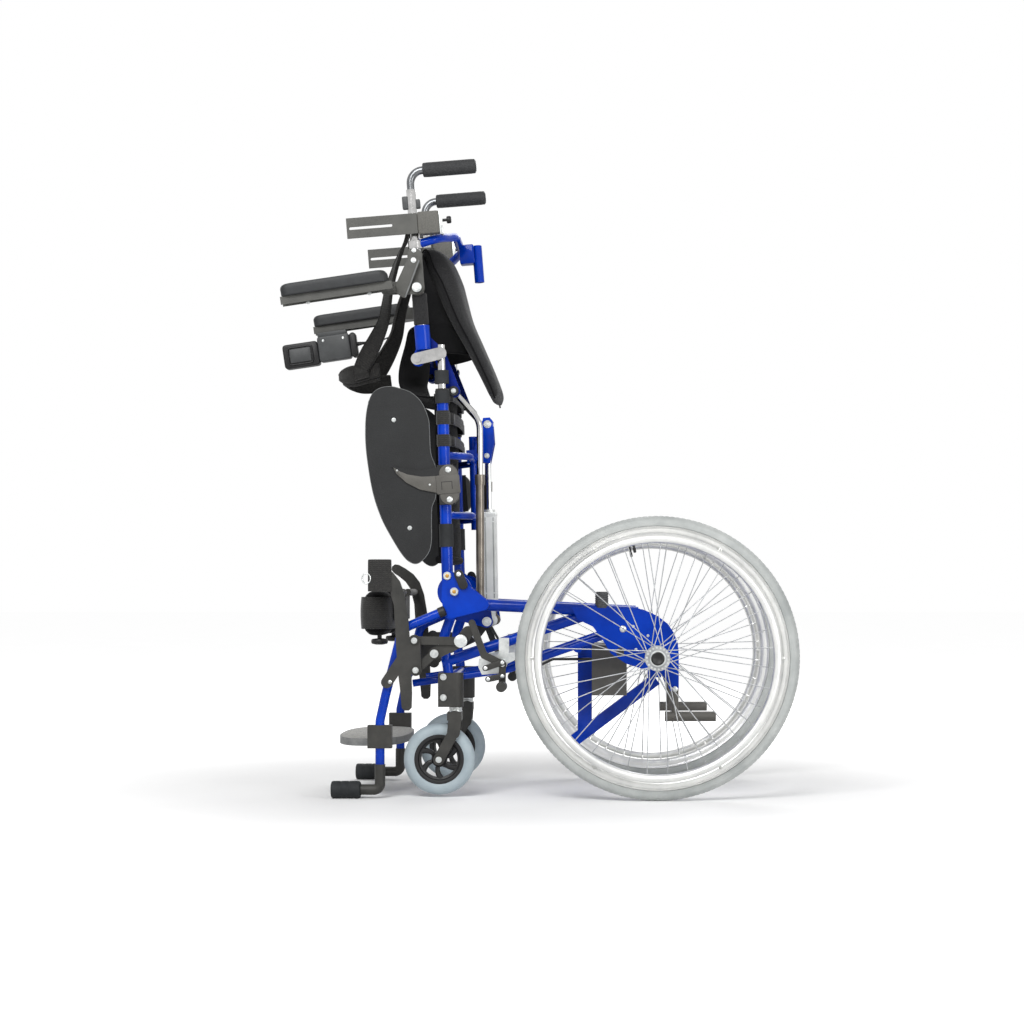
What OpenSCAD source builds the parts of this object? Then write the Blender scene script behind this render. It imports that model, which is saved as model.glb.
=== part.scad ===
// Standing wheelchair shown raised: a tube chassis on two large rear wheels and two casters, a seat
// that turns up about the knee, a back kept near upright by two rods, arm rests, knee pads, foot
// board, wheel brakes and an electric lift strut. Millimetres, chair facing -X, +Z up.

/* [Wheels] */
// Rear wheel diameter over the tyre
wheel_diameter = 610; // [590:1:620]
// Rear tyre width
tyre_width = 34; // [30:1:38]
// Distance between the rear wheel mid planes
wheel_track = 580; // [574:1:600]
// Caster wheel diameter
caster_diameter = 155; // [146:1:160]

/* [Frame] */
// Overall length, hand control to rear tyre
overall_length = 1188; // [1170:1:1210]
// Distance between the side tube centres
frame_width = 400; // [396:1:404]
// Side tube diameter
tube_diameter = 25.4; // [24:0.1:26]
// Thickness of pivot and axle plates
plate_thickness = 6; // [5:0.5:7]

/* [Seat and back] */
// Forward lean of the raised seat and back
lean_angle = 4.5; // [4:0.5:5]
// Length of the seat tubes above the knee pivot
seat_length = 440; // [430:1:450]
// Height of the back posts above the back hinge
back_height = 372; // [366:1:390]
// Length of the push grips
grip_length = 112; // [100:1:120]

/* [Rests] */
// Length of the arm rest pads
arm_length = 232; // [220:1:240]
// Width of the foot board across the chair
board_width = 428; // [420:1:432]
// Thickness of the side guard panels
guard_thickness = 5; // [4:0.5:6]

/* [Hidden] */
$fn = 64;
// general fits
seat_gap = 0.1;
run_gap = 0.06;
body_gap = 0.6;
cut = 1;
lap = 1;
// plate sides lie this far inside their round ends
side_ease = 0.05;
bend_step = 0.05;
head_t = 4;
// main stations
wheel_r = wheel_diameter / 2;
half_track = wheel_track / 2;
half_length = overall_length / 2;
axle = [half_length - wheel_r, wheel_r];
seat_pivot = [-150.6, 447.5];
tube_r = tube_diameter / 2;
side_y = frame_width / 2;
plate_clear = 3.3;
plate_in = side_y - tube_r - plate_clear;
plate_out = side_y + tube_r + plate_clear;
pin_r = 6;
// seat frame points, measured from the knee pivot along the seat
seat_drop = -15.5;
// the tubes lean this much less than the seat frame
tube_tilt = 2.86;
hinge_past = 71;
hinge_at = [-41.6, seat_length + hinge_past];
lift_top = [90.8, 373];
// chassis points
shaft_offset = [68.6, -65.5];
pivot_shaft = seat_pivot + shaft_offset;
knee_corner_r = 13;
knee_outer = [[-10, -46], [62, -28], [-13, 33], [-15, -16]];
knee_inner = [[-10, -46], [68.6, -65.5], [62, -28], [-13, 33], [-15, -16]];
knee_spacers = [[-9, -55], [60, -29]];
knee_spacer_r = 9;
rail_front_offset = [53, -28];
rail_front = seat_pivot + rail_front_offset;
rail_past_axle = -40;
rail_fall = 17.5;
rail_rear = [axle[0] + rail_past_axle, rail_front[1] - rail_fall];
plate_rise = 97;
plate_rise_share = (rail_rear[1] - axle[1]) / plate_rise;
leg_r = 11;
front_leg_offsets = [[-8, -52], [-25, -100]];
house_top = 271;
leg_foot_in = 4;
front_leg_foot = [-164.5, house_top - leg_foot_in];
front_leg = [seat_pivot + front_leg_offsets[0], seat_pivot + front_leg_offsets[1], front_leg_foot];
leg_bend = 60;
low_front = [-178, 291.5];
low_rear_offset = [-165, 87];
low_rear = on_plate(low_rear_offset);
axle_outline = [
  [-186, 110], [-49, 104], [-22, 100], [2, 90], [24, 73], [38, 52], [46, 30], [48, 8],
  [48, -66], [44, -73], [30, -73], [26, -66], [22, -48], [4, -30], [-30, -26], [-66, -14],
  [-99, 8], [-119, 40], [-139, 67], [-172, 82]
];
axle_hole_r = 9;
axle_holes = [[-79.7, 11.5]];
axle_r = 6;
// inner frame points
inner_y = 180;
inner_r = 8;
inner_rear_offset = [-79.4, 58.4];
inner_rear = on_plate(inner_rear_offset);
inner_path = [[-244, 247], [-34, 277.7], inner_rear];
inner_bend = 120;
inner_boss_r = 11;
front_cross = [-162, 259];
rear_cross_share = 0.62;
rear_cross_drop = 5.9;
rear_cross = inner_path[1] + rear_cross_share * (inner_rear - inner_path[1]) - [0, rear_cross_drop];
cross_r = 11;
camber_r = 15;
post_size = [32, 30];
post_from_cross = 14;
post_mid = rear_cross[0] + post_from_cross;
carrier_drop = 178;
carrier_over = 6;
brace_from_post = -36;
brace_drop = 204;
brace_foot = [post_mid + brace_from_post, axle[1] - brace_drop];
brace_head_offset = [4, -56];
brace_head = axle + brace_head_offset;
brace_height = 27;
brace_depth = 30;
gusset_size = [30, 52];
// battery
battery_size = [78, 190, 112];
battery_x = post_mid + post_size[0] / 2 + 2 * seat_gap;
battery_drop = 89;
battery_z = axle[1] - battery_drop;
battery_lid = 22;
battery_step = 2;
// caster housings
house_mid = 206;
house_half = 17.5;
house_x = [-186, -135.5];
house_low = 197;
caster_stem_x = -149;
house_barrel_r = 17.5;
stem_r = 8;
stem_top = 263;
// seat bumpers
bumper_at_share = 0.7706;
bumper_x = rail_front[0] + bumper_at_share * (rail_rear[0] - rail_front[0]);
bumper_r = 11;
bumper_top = seat_pivot[1] - seat_drop * cos(tube_tilt) - tube_r - 3 * seat_gap;
bumper_seat_share = 0.5;
// tipping levers
lever_post_r = 8;
lever_bar_r = 11;
lever_back = 40;
lever_x = axle[0] + lever_back;
lever_drop = 50;
lever_top = axle[1] - lever_drop;
lever_low = 176;
lever_from_axle = [18, 129];
// knee guide links
link_y = 243.5;
link_thick = 5;
guide_gap = 0.5;
guide_a = [-134.8, 340.9];
guide_b = [-192.1, 313.6];
guide_end = [-119.7, 360.4];
guide_half = 13;
guide_stud = [-171, 324];
guide_stud_r = 9;
moving_a = [-234.7, 342.2];
moving_b = [-231.8, 278.2];
link_half = 9;
guide_pin_r = 5;
bar_pin_r = 4;
bar_slack = 0.8;
knob_r = 14;
knob_t = 7;
// brakes
brake_room_share = 0.6857;
brake_base_y = plate_out + plate_thickness + seat_gap;
brake_y = brake_base_y + brake_room_share * (half_track - tyre_width / 2 - brake_base_y);
brake_t = 6;
brake_front = 28;
brake_below = 45.0927;
brake_x = axle[0] - wheel_r - brake_front;
low_slope_share = (low_rear[1] - low_front[1]) / (low_rear[0] - low_front[0]);
low_at_brake = low_front[1] + low_slope_share * (brake_x - low_front[0]);
brake_reach = [55, 24];
behind_house = brake_x - brake_reach[0] > caster_stem_x + house_barrel_r;
brake_over_house = behind_house ? 0 : house_top + brake_reach[1] + body_gap;
brake_pin = [brake_x, max(low_at_brake - brake_below, brake_over_house)];
brake_rise = [25, 10.9073];
brake_top = max(brake_rise[0], low_at_brake - brake_pin[1] + brake_rise[1]);
brake_pin_r = 5;
brake_arm = [[-66, 89], [-40, 20], [0, 0], [-1, -47]];
brake_half = [7.5, 8, 7.5];
roller_r = 11;
roller_length = 44;
roller_end = brake_y + brake_t + roller_length;
brake_base = [[-55, -7], [-47, -24], [-3, -21], [-3, -6], [29, 10], [23, 25], [12, 24], [12, brake_top],
  [-10, brake_top], [-10, 19], [-53, 11]];
brake_base_t = 6;
// lead
lead_r = 3;
lead_from_battery = 80;
lead_y = -60;
lead_start = [battery_x - seat_gap, lead_y, battery_z + lead_from_battery];
lead_side = -40;
lead_drop = 10;
lead_path = [lead_start, [60, lead_y, 296], [0, lead_y, 268], [-52, -44, 320]];
lead_bend = 11;
// seat
disc_r = 38;
disc_t = 12;
bow_r = 8;
bow_z = [168, 299];
bow_start = 3;
bow_low = 52;
bow_half = 120;
bow_bend = 24;
spine_r = 9;
spine_z = [140, 352];
ear_gap = 19.2;
ear_t = 4;
ear_outline = [[58, 292], [90, 284], [103, 330], [103, 380], [97, 388], [82, 388], [74, 366], [58, 322]];
ear_web = [38, 66, 288, 318];
slide_r = 8.7;
slide_in = 45;
slide_out = 100;
slide_low = seat_length - slide_in;
slide_top = seat_length + slide_out;
hinge_plate_y = 215;
hinge_plate_t = 5;
hinge_half = 13;
boss_past = 80;
hinge_boss = seat_length + boss_past;
boss_at = [seat_drop + sin(tube_tilt) * hinge_boss, cos(tube_tilt) * hinge_boss];
hinge_boss_r = 11;
hinge_pin_r = 6;
hinge_head_r = 9;
clamp_height = 28;
clamp_z = [seat_length - clamp_height, seat_length];
clamp_r = 15.8;
collar_past = [15, 44];
collar_z = [seat_length + collar_past[0], seat_length + collar_past[1]];
collar_r = 15.5;
sleeve_z = [99, 149];
sleeve_r = 15.5;
sling_t = 5;
sling_clear = 0.8;
sling_rise = -tube_r - sling_t / 2 - sling_clear;
sling_sag = 32;
sling_low = 74;
sling_short = 6;
sling_z = [sling_low, seat_length - sling_short];
sling_steps = 24;
guard_y = 225;
guard_outline = [
  [-103.9, 454.5], [-117.8, 454.3], [-129, 451.5], [-138, 446.1], [-147, 436], [-153.4, 424.9],
  [-159.7, 398], [-163.6, 371], [-165.5, 343.1], [-165.7, 315], [-164.3, 287.2], [-162, 256],
  [-158, 225.7], [-152.5, 200], [-145.4, 174.6], [-137.5, 153], [-129, 134.6], [-117, 109],
  [-105, 88.1], [-97, 76], [-87.2, 69.8], [-78.8, 67.6], [-70.4, 68.8], [-60, 75], [-50.1, 86.7],
  [-44, 98], [-40.8, 111.3], [-37.6, 150], [-33.7, 185.2], [-28, 198], [-23, 212.3], [-19.3, 240],
  [-18.7, 267.4], [-23.6, 286], [-26.9, 304], [-26.6, 328], [-26, 351.8], [-25.6, 366],
  [-26.6, 379.1], [-31, 398], [-37.9, 413.6], [-47, 427], [-58.2, 437], [-80, 447.5]
];
guard_arm = [[8, 210], [18, 210], [18, 272], [-16, 272], [-50, 268], [-80, 273], [-112, 281],
  [-104, 264], [-84, 243], [-56, 226], [-16, 216], [-8, 196], [8, 190]];
guard_block = [-16, 18, 190, 276];
guard_arm_t = 4;
// back, measured from the back hinge along the posts
post_x = 14;
post_y = 192;
post_r = 11;
post_low = 24;
socket_r = 16.9;
socket_z = [21, 74];
lug_y = 180;
lug_past = 2;
lug_t = 5;
lug_half = 13;
lug_top = 32;
crossbar_r = 9.5;
crossbar_path = [[post_x, post_y, 251], [62, post_y, 262], [99, 108, 275]];
crossbar_bend = 26;
crossbar_ring_r = 15.5;
crossbar_ring = [242, 260];
head_block = [99, 132, 229, 272];
head_block_half = 19;
head_tube_x = 139;
head_tube_r = 11;
head_bore_r = 6.5;
head_tube_z = [186, 270];
rod_fork = [71.8, -72.3];
rod_y = 160;
rod_plate_y = 170;
rod_plate_t = 5;
rod_plate = [[16, 44], [46, 12], [71.8, -72.3]];
rod_plate_half = 14;
rod_pin_r = 4.5;
rod_knob_r = 11;
rod_knob_t = 8;
handle_r = 8.5;
handle_rise = 41;
handle_bend = 28;
grip_start = 29;
grip_end = 4;
grip_r = 16;
chest_y = 215;
chest_t = 5;
chest_plate = [-130, 24, 272, 316];
chest_slot = [-121.7, -33.6, 293.5];
chest_slot_half = 3.2;
chest_box = [26, 72, 271, 317];
chest_box_in = 197;
chest_ring = [284, 304];
chest_ring_r = 15;
arm_plate_y = 206.5;
arm_plate_t = 5;
arm_plate_half = 16;
arm_pivot = [12.1, 154.6];
arm_plate_top = 233;
arm_pad_ring = [208, 240];
arm_pin_r = 6;
arm_head_r = 9;
// arm rests
arm_y = 267;
arm_slope = 3.9;
arm_web_y = 212.5;
arm_web_t = 5;
arm_web = [[12.1, 154.6], [-48, 158]];
arm_web_half = 14;
arm_front = [-277, 139.5];
rail_half = 17;
rail_height = 17;
rail_wall = 3;
arm_knuckle = [30, 16];
arm_knuckle_drop = 4;
arm_pad_half = 26;
arm_pad_t = 12.5;
arm_pad_start = 2;
arm_pad_sides = 32;
arm_pad_square = 0.5;
arm_pad_stations_share = [0, 0.03, 0.1, 0.3, 0.5, 0.7, 0.9, 0.97, 1];
arm_pad_swell_share = [0.62, 0.88, 1, 1, 1, 1, 1, 0.88, 0.62];
// hand control under the right arm, measured from the front of the rail
control_y = [233, 267];
control_z = [-84, -26];
control_at = control_front();
control_ends = [84.9, 161.9, 178.4];
control_x = [control_at + control_ends[0], control_at + control_ends[1]];
control_clamp = [-79, -18];
neck_ends = [87.4, 157.4];
neck_hold = 70;
control_neck = [control_at + neck_ends[0], max(control_at + neck_ends[1], neck_hold)];
control_cap_end = control_at + control_ends[2];
control_cap_z = [-77, -20];
rocker_ends = [15.4, 67.4];
rocker_x = [control_at + rocker_ends[0], control_at + rocker_ends[1]];
rocker_z = [-73, -38];
rocker_depth = 9;
rocker_out = 2;
rocker_gap = 1;
rocker_pin_r = 2;
rocker_pin_out = 3;
rocker_axis = [3.5, -55.5];
// lead of the hand control, from its rear end up into the rail
wire_r = 1.7;
wire_hold = 202;
wire_run = 102;
wire_end = max(wire_hold, control_cap_end + wire_run);
rail_hold = 242;
rail_past_wire = 38;
rail_length = max(rail_hold, wire_end + rail_past_wire);
wire_start = [250, -47];
wire_along_share = [0, 0.087, 0.184, 0.32, 0.456, 0.592, 0.728, 0.845, 0.932, 0.98, 1, 1];
wire_side = [0, 0, 0, 0, 0.5, 1.5, 3, 5.5, 8.5, 11, 12, 12];
wire_rise = [0, 0.4, 0, -1.2, -1, 1, 5, 12, 21, 31, 41, 52];
wire_sides = 8;
// harness and back pads
strap_t = 3;
strap_gap = 0.4;
strap_start = [post_x - post_r - strap_t - strap_gap, 182, 279];
strap_path = [strap_start, [-7, 179, 262], [-16, 173, 247], [-34, 160, 215], [-54, 152, 165],
  [-63, 148, 132], [-72, 144, 98], [-91, 140, 62], [-114, 134, 26], [-132.4, 125.4, -4],
  [-132.4, 125.4, -24]];
strap_turn = [0, 4, 10, 18, 28, 34, 40, 52, 62, 59, 59];
strap_half = [15, 16, 17, 18, 18, 18, 19, 21, 22, 20, 20];
strap_sides = 16;
strap_square = 0.6;
belt_path = [[-92, 132, -8], [-128, 118, -10], [-158, 92, -10], [-180, 56, -8], [-190, 20, -6],
  [-190, -20, -6], [-180, -56, -8], [-158, -92, -10], [-128, -118, -10], [-92, -132, -8]];
belt_half = [15, 18, 20, 15, 9, 9, 15, 20, 18, 15];
belt_t = 5;
belt_sides = 20;
belt_square = 0.7;
back_sling_x = 8;
back_sling_sag = 20;
back_sling_clear = 0.2;
back_sling_half = post_y - post_r + back_sling_clear;
back_sling_t = 5;
back_sling_z = [75, 236];
flap_clear = 0.4;
flap_path = [[22, back_sling_z[1] + flap_clear], [25, 246], [33, 249], [40, 236], [46, 212], [61, 178],
  [70, 151], [89, 92], [114, 34], [138, -27], [154, -72], [158, -90]];
flap_front_share = 0.25;
flap_half = [124, 128, 130, 132, 134, 138, 140, 140, 140, 139, 136, 128];
flap_t = [8, 8, 6, 30, 42, 40, 36, 24, 16, 12, 7, 4];
flap_sides = 32;
flap_square = 0.6;
// rods and lift strut
rod_r = 9;
rod_eye_r = 13;
rod_eye_half = 9.4;
rod_drops = [182.5, 61.5];
rod_offsets = [[53, -7.5], [52, seat_length - rod_drops[0]], [51.5, seat_length - rod_drops[1]]];
rod_mid = seat_pivot + rod_offsets[0];
rod_join = seat_pivot + rod_offsets[1];
rod_turn = seat_pivot + rod_offsets[2];
rod_bend = 60;
rod_collar = 23;
rod_collar_r = 11;
tip_r = 6.8;
tip_eye_r = 12;
tip_bore_r = 7.6;
strut_size = [32, 36];
strut_z = [42, 243];
strut_cap = 9;
strut_cap_share = 0.72;
strut_eye_r = 14;
strut_eye_half = 11;
strut_neck = [20, 18];
strut_bore_low = 52;
strut_rod_r = 5.5;
strut_rod_in = 46;
strut_top_r = 12;
strut_top_half = 15;
strut_pin_r = 5;
strut_pin_half = 17;
// leg rest
shin_y = 236;
shin_r = 10;
shin_path = [[-172, 405.7], [-262, 367], [-298, 225], [-310.6, 168], [-310.6, 74]];
shin_bend = 34;
stand_r = 11.5;
stand_low = 19;
stand_front = -352;
stand_bend = 13.5;
tip_length = 64;
foot_r = 19;
bar_y = 249;
bar_t = 6;
bar_outline = [[-262, 197], [-256, 191], [-246, 191], [-240.5, 197], [-239.6, 228], [-241.3, 274],
  [-244.1, 315], [-245.2, 355], [-248.7, 401], [-255.6, 441], [-265.9, 470], [-281, 489], [-299, 502],
  [-316, 511.5], [-325, 512.5], [-332, 507], [-333, 499], [-327, 491.5], [-313, 482], [-299, 470],
  [-288, 454], [-279, 418], [-275.9, 372], [-274.1, 326], [-270, 274], [-265.9, 240]];
bar_half = 12.5;
bar_gusset = [[-262, 300], [-294, 252]];
bar_studs = [[-262.5, 365], [-294, 247]];
bar_stud_r = 7;
pad_tube = [-277, 446];
pad_tube_r = 8;
pad_y = 118;
pad_half = 82;
pad_tube_share = 0.8;
pad_round_share = 0.35;
pad_plate = [-287, -282, 384, 452];
pad_plate_share = 0.6;
pad_clear = 0.3;
pad_thick = 38;
pad_mid = pad_plate[0] - pad_clear - pad_thick;
pad_path = [[pad_mid, 350], [pad_mid, 362], [pad_mid, 380], [pad_mid, 400], [pad_mid, 420],
  [pad_mid, 438], [pad_mid, 450]];
pad_shares = [0.53, 0.84, 1, 1, 1, 0.84, 0.53];
pad_sides = 28;
pad_square = 0.6;
board_x = -340;
board_half = 78;
board_t = 16;
board_top = 128;
board_pin = [-310.6, 120];
board_pin_r = 6;
bracket_size = [52, 26, 50];
bracket_low = 109;
bracket_in = 20;
board_steps = 72;
board_curve_share = 0.77;
// wheels
rim_depths = [22, 45];
rim_out = wheel_r - rim_depths[0];
rim_in = wheel_r - rim_depths[1];
rim_half = 12;
tyre_core = wheel_r - tyre_width / 2;
flange_r = 27;
hub_room_share = 0.4412;
hub_half = hub_room_share * (half_track - plate_out - plate_thickness);
flange_y_share = 0.8;
flange_y = flange_y_share * hub_half;
flange_t = 3;
barrel_r = 15;
spoke_r = 1.1;
spoke_pairs = 18;
spoke_lead = 40;
odd_spoke_share = 0.94;
spoke_root = 23;
hand_depth = 50;
hand_r = wheel_r - hand_depth;
hand_tube = 9;
hand_y = 38;
hand_tabs = 6;
hand_tilt = 30;
tab_r = 4;
// casters
caster_r = caster_diameter / 2;
caster_at = [-184, 83];
caster_tube = 15;
caster_hub_r = 54;
caster_hub_half = 13;
caster_bore_r = 5;
fork_in = 18.5;
fork_t = 5;
fork_path = [[caster_stem_x, 176], [-152, 142], caster_at];
fork_half = [14, 12];
crown = [17, 168, 186];
ring_r = 13;

blue = [0.03, 0.06, 0.62];
dark_blue = [0.02, 0.04, 0.4];
black = [0.06, 0.06, 0.065];
dark_grey = [0.2, 0.2, 0.21];
rubber_grey = [0.62, 0.63, 0.64];
silver = [0.78, 0.79, 0.8];
steel = [0.62, 0.63, 0.65];

// Copies a right-hand piece to the left.
module left() {
  mirror([0, 1, 0]) children();
}

module both() {
  children();
  left() children();
}

// Seat frame: origin on the knee pivot, Z up the seat.
module on_seat() {
  translate([seat_pivot[0], 0, seat_pivot[1]]) rotate([0, -lean_angle, 0]) children();
}

// Seat tube frame: origin at the lower end of the tube axis, Z along the tube.
module on_tube() {
  on_seat() translate([seat_drop, 0, 0]) rotate([0, tube_tilt, 0]) children();
}

// Back frame: origin on the back hinge, Z along the posts.
module on_back() {
  on_seat() translate([hinge_at[0], 0, hinge_at[1]]) children();
}

// Round bar across the chair at an XZ point.
module pin(at, y0, y1, r) {
  translate([at[0], y0, at[1]]) rotate([-90, 0, 0]) cylinder(h = y1 - y0, r = r);
}

// Flat plate from an XZ outline.
module plate(outline, y0, y1) {
  translate([0, y1, 0]) rotate([90, 0, 0]) linear_extrude(height = y1 - y0) polygon(outline);
}

// Box from low and high X and Z and two Y faces.
module slab(b, y0, y1) {
  translate([b[0], y0, b[2]]) cube([b[1] - b[0], y1 - y0, b[3] - b[2]]);
}

function side_of(a, b) = [b[1] - a[1], a[0] - b[0]] / norm(b - a);

// Strap with round ends between two XZ points.
module strap(a, b, half, y0, y1) {
  n = side_of(a, b) * (half - side_ease);
  pin(a, y0, y1, half);
  pin(b, y0, y1, half);
  plate([a + n, b + n, b - n, a - n], y0, y1);
}

// Convex plate with round corners about the given points, listed counter-clockwise.
module round_plate(points, r, y0, y1) {
  last = len(points) - 1;
  reach = r - side_ease;
  edge = [
    for (i = [0 : last])
      each [
        points[i] + reach * side_of(points[i == 0 ? last : i - 1], points[i]),
        points[i] + reach * side_of(points[i], points[i == last ? 0 : i + 1])
      ]
  ];
  plate(edge, y0, y1);
  for (p = points)
    pin(p, y0, y1, r);
}

// Straight round bar between two points in space.
module bar(a, b, r) {
  d = b - a;
  translate(a) rotate([0, acos(d[2] / norm(d)), atan2(d[1], d[0])]) cylinder(h = norm(d), r = r);
}

function unit(v) = v / norm(v);
function turn_at(p, i) = 180 - acos(unit(p[i - 1] - p[i]) * unit(p[i + 1] - p[i]));
function trim_at(p, i, bend) = i == 0 || i == len(p) - 1 ? 0 : bend * tan(turn_at(p, i) / 2);

// Tube along points in space, with round bends of one radius.
module bent_tube(p, r, bend) {
  last = len(p) - 1;
  for (i = [0 : last - 1]) {
    along = unit(p[i + 1] - p[i]);
    lap_in = i == 0 ? 0 : lap;
    lap_out = i == last - 1 ? 0 : lap;
    bar(p[i] + along * (trim_at(p, i, bend) - lap_in),
      p[i + 1] - along * (trim_at(p, i + 1, bend) - lap_out), r);
  }
  for (i = [1 : 1 : last - 1]) {
    a = unit(p[i - 1] - p[i]);
    b = unit(p[i + 1] - p[i]);
    start = p[i] + a * trim_at(p, i, bend);
    centre = p[i] + unit(a + b) * bend / cos(turn_at(p, i) / 2);
    x = unit(start - centre);
    z = cross(x, -a);
    multmatrix([
      [x[0], -a[0], z[0], centre[0]],
      [x[1], -a[1], z[1], centre[1]],
      [x[2], -a[2], z[2], centre[2]],
      [0, 0, 0, 1]
    ])
      rotate_extrude(angle = turn_at(p, i)) translate([bend, 0]) circle(r = r + bend_step);
  }
}

// Point of the axle plate, which reaches up as far as the main tube.
function on_plate(p) = axle + [p[0], p[1] * (p[1] > 0 ? plate_rise_share : 1)];

function flat(p, y) = [for (q = p) [q[0], y, q[1]]];

// Round tube ring about a vertical line.
module ring(x, y, z0, z1, r_out, r_in) {
  translate([x, y, z0]) difference() {
    cylinder(h = z1 - z0, r = r_out);
    translate([0, 0, -cut]) cylinder(h = z1 - z0 + 2 * cut, r = r_in);
  }
}

// Soft strip along points in space: an oval section of given half widths and half thicknesses,
// wide along each side direction, with closed ends. The under side takes a share of the thickness.
module soft_strip(points, sides, halves, thick, around, square, under_share = 1) {
  last = len(points) - 1;
  ahead = [
    for (i = [0 : last])
      unit(points[i == last ? last : i + 1] - points[i == 0 ? 0 : i - 1])
  ];
  rings = [
    for (i = [0 : last])
      for (j = [0 : around - 1])
        let (
          c = cos(360 * j / around),
          s = sin(360 * j / around),
          n = unit(cross(ahead[i], sides[i]))
        )
          points[i] + sides[i] * halves[i] * sign(c) * pow(abs(c), square)
            + n * thick[i] * (s < 0 ? under_share : 1) * sign(s) * pow(abs(s), square)
  ];
  walls = [
    for (i = [0 : last - 1])
      for (j = [0 : around - 1])
        each [
          [i * around + j, (i + 1) * around + j, i * around + (j + 1) % around],
          [i * around + (j + 1) % around, (i + 1) * around + j, (i + 1) * around + (j + 1) % around]
        ]
  ];
  first_cap = [[for (j = [0 : around - 1]) j]];
  last_cap = [[for (j = [around - 1 : -1 : 0]) last * around + j]];
  polyhedron(points = rings, faces = concat(walls, first_cap, last_cap));
}

// Sheet that sags between its two side edges, extruded along Z.
module sagged_sheet(edge_x, sag, half, t, z0, z1) {
  ys = [for (i = [0 : sling_steps]) -half + 2 * half * i / sling_steps];
  front = [for (y = ys) [edge_x + sag * (1 - y * y / (half * half)) - t / 2, y]];
  rear = [for (i = [sling_steps : -1 : 0]) front[i] + [t, 0]];
  translate([0, 0, z0]) linear_extrude(height = z1 - z0) polygon(concat(front, rear));
}

module side_frames() {
  color(blue) both() difference() {
    union() {
      translate([seat_pivot[0], 0, seat_pivot[1]]) {
        round_plate(knee_outer, knee_corner_r, plate_out, plate_out + plate_thickness);
        round_plate(knee_inner, knee_corner_r, plate_in - plate_thickness, plate_in);
        for (p = knee_spacers)
          pin(p, plate_in, plate_out, knee_spacer_r);
      }
      bar([rail_front[0], side_y, rail_front[1]], [rail_rear[0], side_y, rail_rear[1]], tube_r);
      bent_tube(flat(front_leg, side_y), leg_r, leg_bend);
      bar([low_front[0], side_y, low_front[1]], [low_rear[0], side_y, low_rear[1]], leg_r);
      plate([for (p = axle_outline) on_plate(p)], plate_out, plate_out + plate_thickness);
      pin(rail_rear, side_y, plate_out, knee_spacer_r);
    }
    pin(seat_pivot, plate_in - plate_thickness - cut, plate_out + plate_thickness + cut,
      pin_r + seat_gap);
    pin(pivot_shaft, plate_in - plate_thickness - cut, plate_in + cut, pin_r + seat_gap);
    pin(axle, plate_out - cut, plate_out + plate_thickness + cut, axle_r + seat_gap);
    for (h = axle_holes)
      pin(on_plate(h), plate_out - cut, plate_out + plate_thickness + cut, axle_hole_r);
    slab([house_x[0] - cut, caster_stem_x + house_barrel_r + cut, house_low, house_top],
      house_mid - house_half - cut, house_mid + house_half + cut);
  }
}

module cross_frame() {
  color(blue) union() {
    both() {
      bent_tube(flat(inner_path, inner_y), inner_r, inner_bend);
      pin(inner_rear, inner_y - inner_r + cut, plate_out - seat_gap, inner_boss_r);
    }
    pin(front_cross, -house_mid + house_half + seat_gap, house_mid - house_half - seat_gap, cross_r);
    pin(rear_cross, -inner_y, inner_y, cross_r);
    pin(axle, -plate_out + seat_gap, plate_out - seat_gap, camber_r);
    slab([post_mid - post_size[0] / 2, post_mid + post_size[0] / 2, axle[1] - carrier_drop,
      rear_cross[1] + carrier_over], -post_size[1] / 2, post_size[1] / 2);
    plate(strip_outline(brace_foot, brace_head, brace_height / 2), -brace_depth / 2, brace_depth / 2);
    translate([axle[0] - gusset_size[0] / 2, -brace_depth / 2, axle[1] - gusset_size[1]])
      cube([gusset_size[0], brace_depth, gusset_size[1]]);
  }
}

function strip_outline(a, b, half) =
  let (n = side_of(a, b) * half) [a + n, b + n, b - n, a - n];

module battery_box() {
  color(dark_grey) translate([battery_x, -battery_size[1] / 2, battery_z]) union() {
    cube([battery_size[0], battery_size[1], battery_size[2] - battery_lid]);
    translate([0, -battery_step, battery_size[2] - battery_lid])
      cube([battery_size[0], battery_size[1] + 2 * battery_step, battery_lid]);
  }
}

module caster_housings() {
  color(black) both() difference() {
    union() {
      slab([house_x[0], caster_stem_x, house_low, house_top - seat_gap],
        house_mid - house_half, house_mid + house_half);
      translate([caster_stem_x, house_mid, house_low])
        cylinder(h = house_top - seat_gap - house_low, r = house_barrel_r);
    }
    translate([caster_stem_x, house_mid, house_low - cut])
      cylinder(h = stem_top + seat_gap - house_low + cut, r = stem_r + run_gap);
  }
}

module seat_bumpers() {
  slope = (rail_rear[1] - rail_front[1]) / (rail_rear[0] - rail_front[0]);
  top_z = rail_front[1] + slope * (bumper_x - rail_front[0]) + tube_r * bumper_seat_share;
  color(black) both() difference() {
    translate([bumper_x, side_y, top_z]) cylinder(h = bumper_top - top_z, r = bumper_r);
    bar([rail_front[0], side_y, rail_front[1]], [rail_rear[0], side_y, rail_rear[1]],
      tube_r + seat_gap);
  }
}

module tipping_levers() {
  lever_y = plate_out - lever_post_r - seat_gap;
  color(black) both() union() {
    translate([lever_x, lever_y, lever_low]) cylinder(h = lever_top - lever_low, r = lever_post_r);
    bar([axle[0] + lever_from_axle[0], lever_y, lever_low],
      [axle[0] + lever_from_axle[1], lever_y, lever_low], lever_bar_r);
  }
}

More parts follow.
